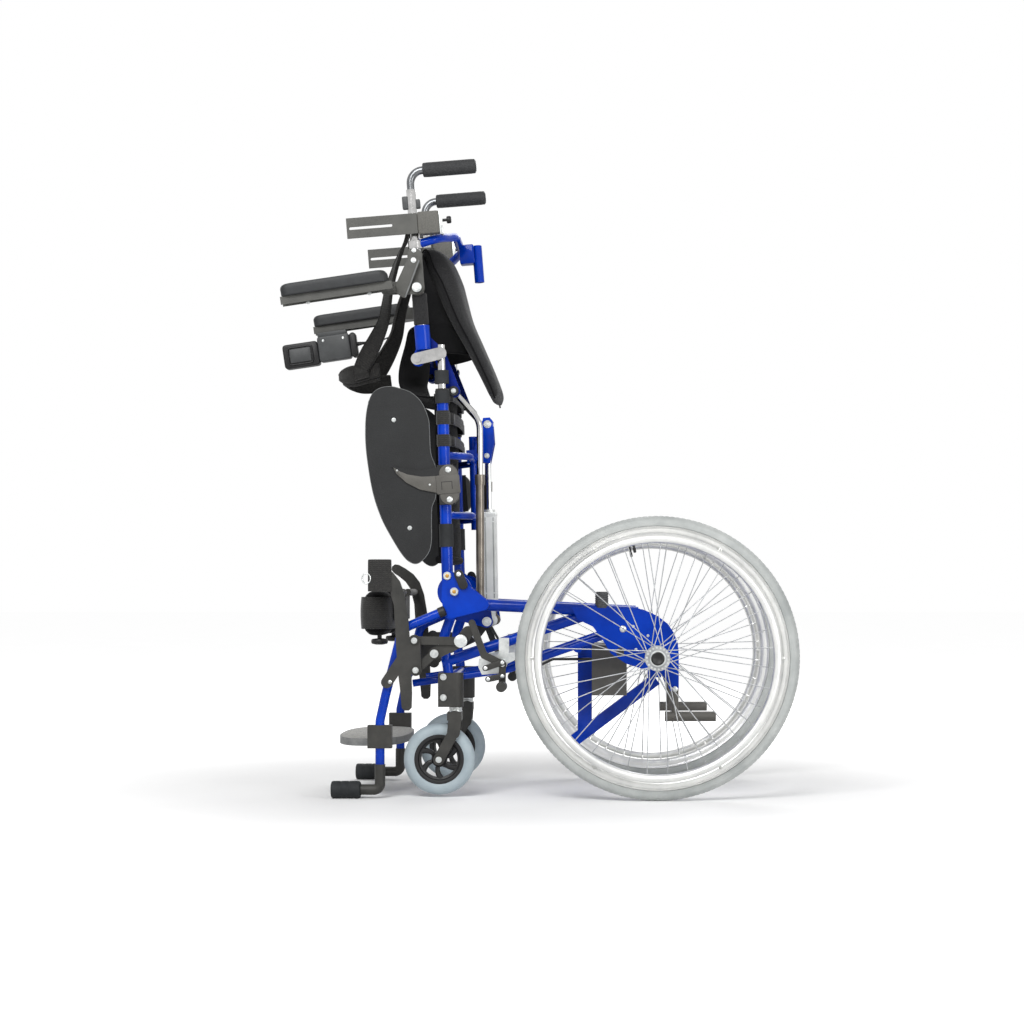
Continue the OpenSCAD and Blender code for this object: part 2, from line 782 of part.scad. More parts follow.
module pivot_pins() {
  plate_end = plate_out + plate_thickness + seat_gap;
  color(steel) union() {
    pin(pivot_shaft, -plate_in + seat_gap, plate_in - seat_gap, pin_r);
    both() {
      pin(seat_pivot, plate_in - plate_thickness, plate_end + head_t, pin_r);
      pin(seat_pivot, plate_end, plate_end + head_t, hinge_head_r);
      pin(axle, plate_out, half_track + hub_half + head_t, axle_r);
      pin(axle, plate_end, half_track - hub_half - body_gap, axle_r + head_t);
      pin(guide_a, link_y - link_thick, bar_y + bar_t + guide_gap, guide_pin_r);
      pin(guide_a, link_y + link_thick + guide_gap, link_y + link_thick + guide_gap + knob_t, knob_r);
      pin(guide_b, link_y - link_thick, link_y + link_thick + guide_gap + head_t, guide_pin_r);
      pin(guide_b, link_y + link_thick + guide_gap, link_y + link_thick + guide_gap + head_t, link_half);
      translate([brake_pin[0], 0, brake_pin[1]])
        plate(brake_base, side_y + leg_r + seat_gap, side_y + leg_r + seat_gap + brake_base_t);
      pin(brake_pin, side_y + leg_r + seat_gap, brake_y + brake_t + head_t, brake_pin_r);
      pin(brake_pin, side_y + leg_r + brake_base_t, brake_y - body_gap, brake_pin_r + head_t);
    }
  }
}

module link_plates() {
  color(black) both() difference() {
    union() {
      strap(guide_b, guide_a, guide_half, link_y - link_thick - guide_gap, link_y - guide_gap);
      strap(guide_a, guide_end, guide_half, link_y - link_thick - guide_gap, link_y - guide_gap);
      pin(guide_stud, side_y + leg_r + seat_gap, link_y - guide_gap - link_thick, guide_stud_r);
    }
    for (p = [guide_a, guide_b])
      pin(p, link_y - 2 * link_thick, link_y, guide_pin_r + seat_gap);
  }
}

// Lead from the battery to the foot of the lift strut.
module power_lead() {
  end_z = pivot_shaft[1] - lead_drop;
  strut_side = -strut_eye_half - strap_gap;
  color(black) bent_tube(concat(lead_path, [[pivot_shaft[0], lead_side, end_z],
    [pivot_shaft[0], strut_side, end_z]]), lead_r, lead_bend);
}

module seat_tubes() {
  color(blue) both() difference() {
    union() {
      on_tube() translate([0, side_y, 0]) cylinder(h = seat_length, r = tube_r);
      on_seat() pin([0, 0], side_y - disc_t / 2, side_y + disc_t / 2, disc_r);
    }
    on_seat() pin([0, 0], side_y - tube_r - cut, side_y + tube_r + cut, pin_r + run_gap);
    on_tube() translate([0, side_y, slide_low - seat_gap]) cylinder(h = seat_length, r = slide_r + seat_gap);
  }
}

module seat_cross_frame() {
  color(blue) difference() {
    union() {
      on_tube() {
        for (z = bow_z)
          bent_tube([[bow_start, -side_y, z], [bow_low, -bow_half, z], [bow_low, bow_half, z],
            [bow_start, side_y, z]], bow_r, bow_bend);
        translate([bow_low, 0, spine_z[0]]) cylinder(h = spine_z[1] - spine_z[0], r = spine_r);
      }
      on_seat() {
        slab(ear_web, -ear_gap - ear_t / 2, ear_gap + ear_t / 2);
        plate(ear_outline, ear_gap, ear_gap + ear_t);
        plate(ear_outline, -ear_gap - ear_t, -ear_gap);
      }
    }
    on_tube() both() translate([0, side_y, 0]) cylinder(h = seat_length, r = tube_r + seat_gap);
    on_seat() pin(lift_top, -ear_gap - ear_t - cut, ear_gap + ear_t + cut, strut_pin_r);
  }
}

module seat_slides() {
  end_y = hinge_plate_y + hinge_plate_t;
  color(silver) both() union() {
    on_tube() translate([0, side_y, slide_low]) cylinder(h = slide_top - slide_low, r = slide_r);
    on_seat() {
      pin(boss_at, side_y, end_y, hinge_boss_r);
      strap(hinge_at, boss_at, hinge_half, hinge_plate_y, end_y);
      pin(hinge_at, lug_y - lug_past, end_y + head_t, hinge_pin_r);
      pin(hinge_at, end_y, end_y + head_t, hinge_head_r);
    }
  }
}

module seat_collars() {
  color(black) on_tube() both() {
    ring(0, side_y, clamp_z[0], clamp_z[1], clamp_r, tube_r + seat_gap);
    ring(0, side_y, collar_z[0], collar_z[1], collar_r, slide_r + seat_gap);
    ring(0, side_y, sleeve_z[0], sleeve_z[1], sleeve_r, tube_r + seat_gap);
  }
}

module seat_sling() {
  color(black) on_tube() difference() {
    sagged_sheet(sling_rise, sling_sag, side_y, sling_t, sling_z[0], sling_z[1]);
    both() for (z = [sleeve_z, clamp_z])
      translate([0, side_y, z[0] - body_gap])
        cylinder(h = z[1] - z[0] + 2 * body_gap, r = clamp_r + body_gap);
  }
}

module side_guards() {
  color(black) on_seat() both() union() {
    plate(guard_outline, guard_y, guard_y + guard_thickness);
    plate(guard_arm, guard_y + guard_thickness, guard_y + guard_thickness + guard_arm_t);
    slab(guard_block, side_y + tube_r + seat_gap, guard_y + guard_thickness + guard_arm_t);
  }
}

module back_sockets() {
  color(blue) on_back() both() difference() {
    union() {
      translate([post_x, post_y, socket_z[0]]) cylinder(h = socket_z[1] - socket_z[0], r = socket_r);
      strap([0, 0], [post_x, lug_top], lug_half, lug_y, lug_y + lug_t);
    }
    translate([post_x, post_y, post_low]) cylinder(h = socket_z[1], r = post_r + seat_gap);
    pin([0, 0], lug_y - cut, lug_y + lug_t + cut, hinge_pin_r + run_gap);
  }
}

module back_posts() {
  color(silver) on_back() both()
    translate([post_x, post_y, post_low + seat_gap])
      cylinder(h = back_height - post_low - seat_gap, r = post_r);
}

module back_crossbar() {
  mirrored = [for (p = crossbar_path) [p[0], -p[1], p[2]]];
  color(blue) on_back() difference() {
    union() {
      bent_tube([crossbar_path[0], crossbar_path[1], crossbar_path[2], mirrored[2], mirrored[1],
        mirrored[0]], crossbar_r, crossbar_bend);
      both() translate([post_x, post_y, crossbar_ring[0]])
        cylinder(h = crossbar_ring[1] - crossbar_ring[0], r = crossbar_ring_r);
      slab(head_block, -head_block_half, head_block_half);
      translate([head_tube_x, 0, head_tube_z[0]])
        cylinder(h = head_tube_z[1] - head_tube_z[0], r = head_tube_r);
    }
    both() translate([post_x, post_y, 0]) cylinder(h = back_height, r = post_r + seat_gap);
    translate([head_tube_x, 0, head_tube_z[0] - cut])
      cylinder(h = head_tube_z[1] - head_tube_z[0] + 2 * cut, r = head_bore_r);
  }
}

module back_panel() {
  across = [for (p = flap_path) [0, 1, 0]];
  color(black) on_back() {
    sagged_sheet(back_sling_x, back_sling_sag, back_sling_half, back_sling_t,
      back_sling_z[0], back_sling_z[1]);
    soft_strip(flat(flap_path, 0), across, flap_half, flap_t, flap_sides, flap_square, flap_front_share);
  }
}

module rod_brackets() {
  plate_end = rod_plate_y + rod_plate_t;
  color(dark_blue) on_back() both() union() {
    for (i = [0 : 1])
      strap(rod_plate[i], rod_plate[i + 1], rod_plate_half, rod_plate_y, plate_end);
    pin(rod_fork, rod_y - rod_eye_half, plate_end + rod_knob_t, rod_pin_r);
    pin(rod_fork, plate_end, plate_end + rod_knob_t, rod_knob_r);
  }
}

module handle_tubes() {
  base = back_height + seat_gap;
  end_x = post_x + grip_start + grip_length;
  color(steel) on_back() both()
    bent_tube([[post_x, post_y, base], [post_x, post_y, base + handle_rise],
      [end_x, post_y, base + handle_rise]], handle_r, handle_bend);
}

module handle_grips() {
  start = [post_x + grip_start, post_y, back_height + seat_gap + handle_rise];
  color(black) on_back() both() difference() {
    bar(start, start + [grip_length + grip_end, 0, 0], grip_r);
    bar(start - [cut, 0, 0], start + [grip_length + seat_gap, 0, 0], handle_r + seat_gap);
  }
}

module chest_brackets() {
  color(dark_grey) on_back() both() difference() {
    union() {
      slab(chest_plate, chest_y, chest_y + chest_t);
      slab(chest_box, chest_box_in, chest_y + chest_t);
      translate([post_x, post_y, chest_ring[0]])
        cylinder(h = chest_ring[1] - chest_ring[0], r = chest_ring_r);
      slab([post_x - post_r, chest_box[0], chest_ring[0], chest_ring[1]], post_y, chest_y);
    }
    translate([post_x, post_y, 0]) cylinder(h = back_height, r = post_r + seat_gap);
    strap([chest_slot[0], chest_slot[2]], [chest_slot[1], chest_slot[2]], chest_slot_half,
      chest_y - cut, chest_y + chest_t + cut);
  }
}

module arm_brackets() {
  end_y = arm_plate_y + arm_plate_t;
  head_y = arm_web_y + arm_web_t + body_gap;
  color(dark_grey) on_back() both() difference() {
    union() {
      strap(arm_pivot, [arm_pivot[0], arm_plate_top - arm_plate_half], arm_plate_half,
        arm_plate_y, end_y);
      slab([post_x - post_r, post_x + post_r, arm_pad_ring[0], arm_pad_ring[1] - arm_plate_half],
        post_y, arm_plate_y);
      pin(arm_pivot, arm_plate_y, head_y + head_t, arm_pin_r);
      pin(arm_pivot, head_y, head_y + head_t, arm_head_r);
    }
    translate([post_x, post_y, 0]) cylinder(h = back_height, r = post_r + seat_gap);
  }
}

module harness() {
  last = len(strap_path) - 1;
  sides = [
    for (i = [0 : last])
      let (
        ahead = strap_path[min(i + 1, last)] - strap_path[max(i - 1, 0)],
        up = unit(cross(ahead, [0, 1, 0]))
      )
        unit(sin(strap_turn[i]) * up + [0, cos(strap_turn[i]), 0])
  ];
  up = [for (p = belt_path) [0, 0, 1]];
  color(black) on_back() {
    both() soft_strip(strap_path, sides, strap_half, [for (p = strap_path) strap_t],
      strap_sides, strap_square);
    soft_strip(belt_path, up, belt_half, [for (p = belt_path) belt_t], belt_sides, belt_square);
  }
}

// Arm rest frame: origin at the front of the rail, X along the rail.
module on_arm() {
  on_back() translate([arm_front[0], 0, arm_front[1]]) rotate([0, -arm_slope, 0]) children();
}

module arm_rail() {
  rail_top = rail_height / 2;
  difference() {
    union() {
      on_arm() slab([0, rail_length, -rail_top, rail_top], arm_y - rail_half, arm_y + rail_half);
      on_back() {
        strap(arm_web[0], arm_web[1], arm_web_half, arm_web_y, arm_web_y + arm_web_t);
        slab([arm_web[1][0] - arm_knuckle[0] / 2, arm_web[1][0] + arm_knuckle[0] / 2,
          arm_web[1][1] - arm_knuckle_drop - arm_knuckle[1] / 2,
          arm_web[1][1] - arm_knuckle_drop + arm_knuckle[1] / 2],
          arm_web_y, arm_y - rail_half + rail_wall);
      }
    }
    on_arm()
      slab([-cut, rail_length - arm_knuckle[0] - rail_wall, -rail_top - cut, rail_top - rail_wall],
        arm_y - rail_half + rail_wall, arm_y + rail_half - rail_wall);
    on_back() pin(arm_pivot, arm_web_y - cut, arm_web_y + arm_web_t + cut, arm_pin_r + run_gap);
  }
}

module arm_pad() {
  base = rail_height / 2 + seat_gap + arm_pad_t;
  points = [for (s = arm_pad_stations_share) [arm_pad_start + s * arm_length, arm_y, base]];
  across = [for (p = points) [0, 1, 0]];
  widths = [for (w = arm_pad_swell_share) arm_pad_half * w];
  heights = [for (w = arm_pad_swell_share) arm_pad_t * w];
  on_arm() soft_strip(points, across, widths, heights, arm_pad_sides, arm_pad_square);
}

module left_arm_rail() {
  color(dark_grey) left() arm_rail();
}

module left_arm_pad() {
  color(black) left() arm_pad();
}

module right_arm_rail() {
  color(dark_grey) arm_rail();
}

module right_arm_pad() {
  color(black) arm_pad();
}

function arm_front_x() =
  seat_pivot[0] + cos(lean_angle) * (hinge_at[0] + arm_front[0])
    - sin(lean_angle) * (hinge_at[1] + arm_front[1]);
function control_front() =
  (-half_length - arm_front_x() + sin(lean_angle + arm_slope) * control_z[1])
    / cos(lean_angle + arm_slope);

module control_box() {
  recess_x = [rocker_x[0] - rocker_gap, rocker_x[1] + rocker_gap];
  recess_z = [rocker_z[0] - rocker_gap, rocker_z[1] + rocker_gap];
  color(black) on_arm() difference() {
    union() {
      slab([control_at, control_x[0] + cut, control_z[0], control_z[1]],
        control_y[0], control_y[1]);
      slab([control_x[0], control_x[1], control_clamp[0], control_clamp[1]],
        control_y[0] + rail_wall, control_y[1] - rail_wall);
      slab([control_neck[0], control_neck[1], control_clamp[1] - cut, -rail_height / 2 - seat_gap],
        control_y[0] + 2 * rail_wall, control_y[1] - 2 * rail_wall);
      slab([control_x[1] - cut, control_cap_end, control_cap_z[0], control_cap_z[1]],
        control_y[0] + 2 * rail_wall, control_y[1] - 2 * rail_wall);
    }
    slab([recess_x[0], recess_x[1], recess_z[0], recess_z[1]],
      control_y[0] - cut, control_y[0] + rocker_depth + 2 * rocker_gap);
    bar([recess_x[0] - rocker_pin_out, control_y[0] + rocker_axis[0], rocker_axis[1]],
      [recess_x[1] + rocker_pin_out, control_y[0] + rocker_axis[0], rocker_axis[1]],
      rocker_pin_r + run_gap);
  }
}

// Lead of the hand control, held by its rear end and by the rail.
module control_lead() {
  start_x = control_cap_end + seat_gap;
  points = [
    for (i = [0 : len(wire_along_share) - 1])
      [start_x + wire_along_share[i] * (wire_end - start_x), wire_start[0] + wire_side[i],
        wire_start[1] + wire_rise[i]]
  ];
  radii = [for (p = points) wire_r];
  color(black) on_arm()
    soft_strip(points, [for (p = points) [0, 1, 0]], radii, radii, wire_sides, 1);
}

// Rocker switch on two end pins.
module rocker() {
  color(dark_grey) on_arm() union() {
    slab([rocker_x[0], rocker_x[1], rocker_z[0], rocker_z[1]],
      control_y[0] - rocker_out, control_y[0] + rocker_depth - rocker_out);
    bar([rocker_x[0] - rocker_pin_out, control_y[0] + rocker_axis[0], rocker_axis[1]],
      [rocker_x[1] + rocker_pin_out, control_y[0] + rocker_axis[0], rocker_axis[1]], rocker_pin_r);
  }
}

// Lower rod from the shared shaft to the black collar.
module back_rods() {
  color(black) both() difference() {
    union() {
      pin(pivot_shaft, rod_y - rod_eye_half, rod_y + rod_eye_half, rod_eye_r);
      bent_tube(flat([pivot_shaft, rod_mid, rod_join], rod_y), rod_r, rod_bend);
      bar([rod_join[0], rod_y, rod_join[1] - rod_collar], [rod_join[0], rod_y, rod_join[1]],
        rod_collar_r);
    }
    pin(pivot_shaft, rod_y - rod_eye_half - cut, rod_y + rod_eye_half + cut, pin_r + run_gap);
  }
}

function fork_world() =
  seat_pivot + [
    cos(lean_angle) * (hinge_at[0] + rod_fork[0]) - sin(lean_angle) * (hinge_at[1] + rod_fork[1]),
    sin(lean_angle) * (hinge_at[0] + rod_fork[0]) + cos(lean_angle) * (hinge_at[1] + rod_fork[1])
  ];

module rod_tips() {
  top = fork_world();
  color(silver) both() difference() {
    union() {
      bent_tube(flat([rod_join + [0, seat_gap], rod_turn, top], rod_y), tip_r, rod_bend);
      pin(top, rod_y - rod_eye_half, rod_y + rod_eye_half, tip_eye_r);
    }
    pin(top, rod_y - rod_eye_half - cut, rod_y + rod_eye_half + cut, tip_bore_r);
  }
}

function lift_world() =
  seat_pivot + [
    cos(lean_angle) * lift_top[0] - sin(lean_angle) * lift_top[1],
    sin(lean_angle) * lift_top[0] + cos(lean_angle) * lift_top[1]
  ];
function lift_reach() = norm(lift_world() - pivot_shaft);

// Lift strut frame: origin on the lower shaft, Z towards the upper pin.
module on_lift() {
  d = lift_world() - pivot_shaft;
  translate([pivot_shaft[0], 0, pivot_shaft[1]]) rotate([0, atan2(d[0], d[1]), 0]) children();
}

module lift_body() {
  color(silver) on_lift() difference() {
    union() {
      pin([0, 0], -strut_eye_half, strut_eye_half, strut_eye_r);
      translate([-strut_neck[0] / 2, -strut_neck[1] / 2, 0])
        cube([strut_neck[0], strut_neck[1], strut_z[0]]);
      translate([-strut_size[0] / 2, -strut_size[1] / 2, strut_z[0]])
        cube([strut_size[0], strut_size[1], strut_z[1] - strut_z[0]]);
      translate([0, 0, strut_z[1]]) cylinder(h = strut_cap, r = strut_neck[1] * strut_cap_share);
    }
    pin([0, 0], -strut_eye_half - cut, strut_eye_half + cut, pin_r + run_gap);
    translate([0, 0, strut_bore_low]) cylinder(h = strut_z[1], r = strut_rod_r + run_gap);
  }
}

module lift_rod() {
  low = strut_z[1] - strut_rod_in;
  color(steel) on_lift() union() {
    translate([0, 0, low]) cylinder(h = lift_reach() - low, r = strut_rod_r);
    pin([0, lift_reach()], -strut_top_half, strut_top_half, strut_top_r);
    pin([0, lift_reach()], -strut_pin_half, strut_pin_half, strut_pin_r);
  }
}

module upper_links() {
  color(black) both() difference() {
    strap(guide_a, moving_a, link_half, link_y, link_y + link_thick);
    pin(guide_a, link_y - cut, link_y + link_thick + cut, guide_pin_r + run_gap);
    pin(moving_a, link_y - cut, link_y + link_thick + cut, bar_pin_r + run_gap);
  }
}

module lower_links() {
  color(black) both() difference() {
    strap(guide_b, moving_b, link_half, link_y, link_y + link_thick);
    pin(guide_b, link_y - cut, link_y + link_thick + cut, guide_pin_r + run_gap);
    pin(moving_b, link_y - cut, link_y + link_thick + cut, bar_pin_r + bar_slack);
  }
}

module leg_tubes() {
  color(blue) both() bent_tube(flat(shin_path, shin_y), shin_r, shin_bend);
}

// Foot stands, with the clamp blocks that carry the foot board.
module foot_stands() {
  foot = shin_path[len(shin_path) - 1];
  inner = shin_y - bracket_size[1] / 2;
  color(black) both() {
    bent_tube([[foot[0], shin_y, foot[1] - seat_gap], [foot[0], shin_y, stand_low],
      [stand_front, shin_y, stand_low]], stand_r, stand_bend);
    difference() {
      union() {
        translate([foot[0] - bracket_size[0] / 2, inner, bracket_low]) cube(bracket_size);
        pin(board_pin, inner - 2 * bracket_in, inner + cut, board_pin_r);
      }
      translate([foot[0], shin_y, foot[1]])
        cylinder(h = bracket_low + bracket_size[2], r = shin_r + seat_gap);
    }
  }
}

module foot_tips() {
  color(black) both()
    bar([stand_front - seat_gap - tip_length, shin_y, stand_low],
      [stand_front - seat_gap, shin_y, stand_low], foot_r);
}

module knee_bars() {
  end_y = bar_y + bar_t;
  color(black) both() union() {
    plate(bar_outline, bar_y, end_y);
    strap(moving_a, moving_b, bar_half, bar_y, end_y);
    strap(bar_gusset[0], bar_gusset[1], bar_half, bar_y, end_y);
    for (p = bar_studs)
      pin(p, shin_y + shin_r + seat_gap, bar_y, bar_stud_r);
    for (p = [moving_a, moving_b])
      pin(p, link_y, end_y, bar_pin_r);
    for (p = [moving_a, moving_b])
      pin(p, end_y, end_y + head_t, link_half);
    pin(pad_tube, pad_y - pad_half * pad_tube_share, end_y, pad_tube_r);
    slab(pad_plate, pad_y - pad_half * pad_plate_share, pad_y + pad_half * pad_plate_share);
  }
}

module knee_pads() {
  across = [for (p = pad_path) [0, 1, 0]];
  widths = [for (s = pad_shares) pad_half * (1 - pad_round_share * (1 - s))];
  depths = [for (s = pad_shares) pad_thick * s];
  color(black) both()
    soft_strip(flat(pad_path, pad_y), across, widths, depths, pad_sides, pad_square);
}

module foot_board() {
  outline = [
    for (i = [0 : board_steps - 1])
      let (c = cos(360 * i / board_steps), s = sin(360 * i / board_steps))
        [
          board_half * sign(c) * pow(abs(c), board_curve_share),
          board_width / 2 * sign(s) * pow(abs(s), board_curve_share)
        ]
  ];
  color(dark_grey) difference() {
    translate([board_x, 0, board_top - board_t]) linear_extrude(height = board_t) polygon(outline);
    both() pin(board_pin, shin_y - bracket_size[1] / 2 - 2 * bracket_in - cut, shin_y,
      board_pin_r + run_gap);
  }
}

// Rear wheel frame: origin at the wheel centre, Z outwards along the axle.
module on_axle() {
  translate([axle[0], half_track, axle[1]]) rotate([-90, 0, 0]) children();
}

module tyre() {
  color(rubber_grey) on_axle() difference() {
    rotate_extrude() translate([tyre_core, 0]) circle(r = tyre_width / 2);
    translate([0, 0, -tyre_width]) cylinder(h = 2 * tyre_width, r = rim_out + seat_gap);
  }
}

module rim() {
  color(silver) on_axle() difference() {
    translate([0, 0, -rim_half]) cylinder(h = 2 * rim_half, r = rim_out);
    translate([0, 0, -rim_half - cut]) cylinder(h = 2 * rim_half + 2 * cut, r = rim_in);
  }
}

module spokes() {
  rim_end = rim_in - seat_gap;
  color(silver) on_axle() difference() {
    union() {
      translate([0, 0, -hub_half]) cylinder(h = 2 * hub_half, r = barrel_r);
      for (s = [-1, 1])
        translate([0, 0, s * flange_y - flange_t / 2]) cylinder(h = flange_t, r = flange_r);
      for (i = [0 : spoke_pairs - 1], s = [-1, 1]) {
        root = 360 / spoke_pairs * (i + s / 4);
        tip = root + spoke_lead * (i % 2 == 0 ? 1 : -1);
        bar([spoke_root * cos(root), spoke_root * sin(root), s * flange_y],
          [rim_end * cos(tip), rim_end * sin(tip), s * spoke_r],
          spoke_r * (i % 2 == 0 ? 1 : odd_spoke_share));
      }
    }
    translate([0, 0, -hub_half - cut]) cylinder(h = 2 * hub_half + 2 * cut, r = axle_r + run_gap);
  }
}

module handrim() {
  color(silver) on_axle() difference() {
    union() {
      translate([0, 0, hand_y]) rotate_extrude() translate([hand_r, 0]) circle(r = hand_tube);
      for (i = [0 : hand_tabs - 1])
        rotate(360 / hand_tabs * i)
          translate([rim_in + tab_r * 2, 0, rim_half + seat_gap]) rotate([0, -hand_tilt, 0])
            translate([0, 0, -tab_r]) cylinder(h = hand_y - rim_half + tab_r, r = tab_r);
    }
    translate([0, 0, -rim_half]) cylinder(h = 2 * rim_half + seat_gap, r = rim_out);
  }
}

module left_tyre() {
  left() tyre();
}

module left_rim() {
  left() rim();
}

module left_spokes() {
  left() spokes();
}

module left_handrim() {
  left() handrim();
}

module right_tyre() {
  tyre();
}

module right_rim() {
  rim();
}

module right_spokes() {
  spokes();
}

module right_handrim() {
  handrim();
}

module fork() {
  color(black) union() {
    translate([caster_stem_x, house_mid, crown[1]]) cylinder(h = stem_top - crown[1], r = stem_r);
    translate([caster_stem_x, house_mid, crown[1]])
      cylinder(h = house_low - body_gap - crown[1], r = ring_r);
    slab([caster_stem_x - crown[0], caster_stem_x + fork_half[0], crown[1], crown[2]],
      house_mid - fork_in - fork_t, house_mid + fork_in + fork_t);
    for (y = [-fork_in - fork_t, fork_in])
      for (i = [0 : 1])
        strap(fork_path[i], fork_path[i + 1], fork_half[i], house_mid + y, house_mid + y + fork_t);
    pin(caster_at, house_mid - fork_in - fork_t, house_mid + fork_in + fork_t, caster_bore_r);
  }
}

// Caster wheel frame: origin at the wheel centre, Z outwards along its axle.
module on_caster() {
  translate([caster_at[0], house_mid, caster_at[1]]) rotate([-90, 0, 0]) children();
}

module caster_tyre() {
  color(rubber_grey) on_caster() difference() {
    rotate_extrude() translate([caster_r - caster_tube, 0]) circle(r = caster_tube);
    translate([0, 0, -caster_tube - cut])
      cylinder(h = 2 * caster_tube + 2 * cut, r = caster_hub_r + seat_gap);
  }
}

module caster_hub() {
  color(black) on_caster() difference() {
    translate([0, 0, -caster_hub_half]) cylinder(h = 2 * caster_hub_half, r = caster_hub_r);
    translate([0, 0, -caster_hub_half - cut])
      cylinder(h = 2 * caster_hub_half + 2 * cut, r = caster_bore_r + run_gap);
  }
}

module left_fork() {
  left() fork();
}

module left_caster_tyre() {
  left() caster_tyre();
}

module left_caster_hub() {
  left() caster_hub();
}

module right_fork() {
  fork();
}

module right_caster_tyre() {
  caster_tyre();
}

module right_caster_hub() {
  caster_hub();
}

module brake() {
  color(black) translate([brake_pin[0], 0, brake_pin[1]]) difference() {
    union() {
      for (i = [0 : 2])
        strap(brake_arm[i], brake_arm[i + 1], brake_half[i], brake_y, brake_y + brake_t);
      pin(brake_arm[3], brake_y, roller_end, roller_r);
    }
    pin([0, 0], brake_y - cut, brake_y + brake_t + cut, brake_pin_r + run_gap);
  }
}

module left_brake() {
  left() brake();
}

module right_brake() {
  brake();
}

side_frames();
cross_frame();
battery_box();
caster_housings();
seat_bumpers();
tipping_levers();
pivot_pins();
link_plates();
power_lead();
seat_tubes();
seat_cross_frame();
seat_slides();
seat_collars();
seat_sling();
side_guards();
back_sockets();
back_posts();
back_crossbar();
back_panel();
rod_brackets();
handle_tubes();
handle_grips();
chest_brackets();
arm_brackets();
harness();
left_arm_rail();
left_arm_pad();
right_arm_rail();
right_arm_pad();
control_box();
control_lead();
rocker();
back_rods();
rod_tips();
lift_body();
lift_rod();
upper_links();
lower_links();
leg_tubes();
foot_stands();
foot_tips();
knee_bars();
knee_pads();
foot_board();
left_tyre();
left_rim();
left_spokes();
left_handrim();
right_tyre();
right_rim();
right_spokes();
right_handrim();
left_fork();
left_caster_tyre();
left_caster_hub();
right_fork();
right_caster_tyre();
right_caster_hub();
left_brake();
right_brake();
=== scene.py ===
"""Looks of a standing wheelchair shown raised: finishes of its frame, and its soft goods, wheels and trim.

Sizes and places are millimetres in the frame of the piece that carries them; a mesh is made in metres.
"""
import math

import bmesh
import bpy
import numpy as np
from mathutils import Matrix


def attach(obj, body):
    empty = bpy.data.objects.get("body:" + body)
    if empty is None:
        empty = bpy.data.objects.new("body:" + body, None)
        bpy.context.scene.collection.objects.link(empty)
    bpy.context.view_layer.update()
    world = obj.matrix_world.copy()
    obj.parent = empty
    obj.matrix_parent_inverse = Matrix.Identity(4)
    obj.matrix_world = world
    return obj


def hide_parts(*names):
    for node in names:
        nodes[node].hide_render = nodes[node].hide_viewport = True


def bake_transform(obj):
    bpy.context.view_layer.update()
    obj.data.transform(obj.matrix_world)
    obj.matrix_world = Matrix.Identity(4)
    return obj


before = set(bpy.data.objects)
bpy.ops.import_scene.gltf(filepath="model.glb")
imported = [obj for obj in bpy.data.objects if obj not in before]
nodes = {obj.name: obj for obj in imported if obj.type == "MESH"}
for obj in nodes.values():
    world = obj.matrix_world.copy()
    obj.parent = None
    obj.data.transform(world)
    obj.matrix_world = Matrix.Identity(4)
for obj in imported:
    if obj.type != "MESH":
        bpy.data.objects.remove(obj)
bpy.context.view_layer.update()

MM = 0.001
TAU = 2 * math.pi
SIDES = (("left", -1), ("right", 1))

# Places that the pieces are built from
LEAN = math.radians(4.5)
ARM_SLOPE = math.radians(3.9)
KNEE = (-150.6, 447.5)
HINGE_ON_SEAT = (-41.6, 511)
ARM_ON_BACK = (-277, 139.5)
AXLE = (289, 305)
HALF_TRACK = 290
CASTER = (-184, 206, 83)
TUBE_FOOT = (-15.5, 0)
TUBE_TILT = math.radians(2.86)
SEAT_TUBE_Y = 200
POST = (14, 192)

# Edges that turn by more than this stay sharp
SHARP = math.radians(38)


def xyz(x, y, z):
    """Points from three coordinates, each spread over the shape that they share."""
    return np.stack(np.broadcast_arrays(x, y, z), -1)


def round_turn(count):
    """Angles spread evenly round a full turn."""
    return np.linspace(0, TAU, count, endpoint=False)


def turned(points, origin, angle):
    """Points turned about Y and moved: x = ox + x cos a - z sin a, z = oz + x sin a + z cos a."""
    p = np.asarray(points, float)
    c, s = math.cos(angle), math.sin(angle)
    x = origin[0] + c * p[..., 0] - s * p[..., 2]
    z = origin[1] + s * p[..., 0] + c * p[..., 2]
    return xyz(x, p[..., 1], z)


def on_chassis(points):
    """Chassis places are the chair's own."""
    return np.asarray(points, float)


def on_seat(points):
    """Seat places start at the knee pivot and lean with the seat tubes."""
    return turned(points, KNEE, LEAN)


def on_tube(points):
    """Tube places start at the foot of the seat tubes and run up them."""
    return on_seat(turned(points, TUBE_FOOT, -TUBE_TILT))


def on_back(points):
    """Back places start at the back hinge and lean with the posts."""
    return on_seat(np.asarray(points, float) + (HINGE_ON_SEAT[0], 0, HINGE_ON_SEAT[1]))


def on_arm(points):
    """Arm places start at the front of the arm rail and run along it."""
    return on_back(turned(points, ARM_ON_BACK, ARM_SLOPE))


# Surfaces worked out as whole arrays: each returns points, faces and a place in the pattern per corner

def unit(v):
    """Vectors along the last axis, scaled to length one."""
    v = np.asarray(v, float)
    return v / np.maximum(np.linalg.norm(v, axis=-1, keepdims=True), 1e-12)


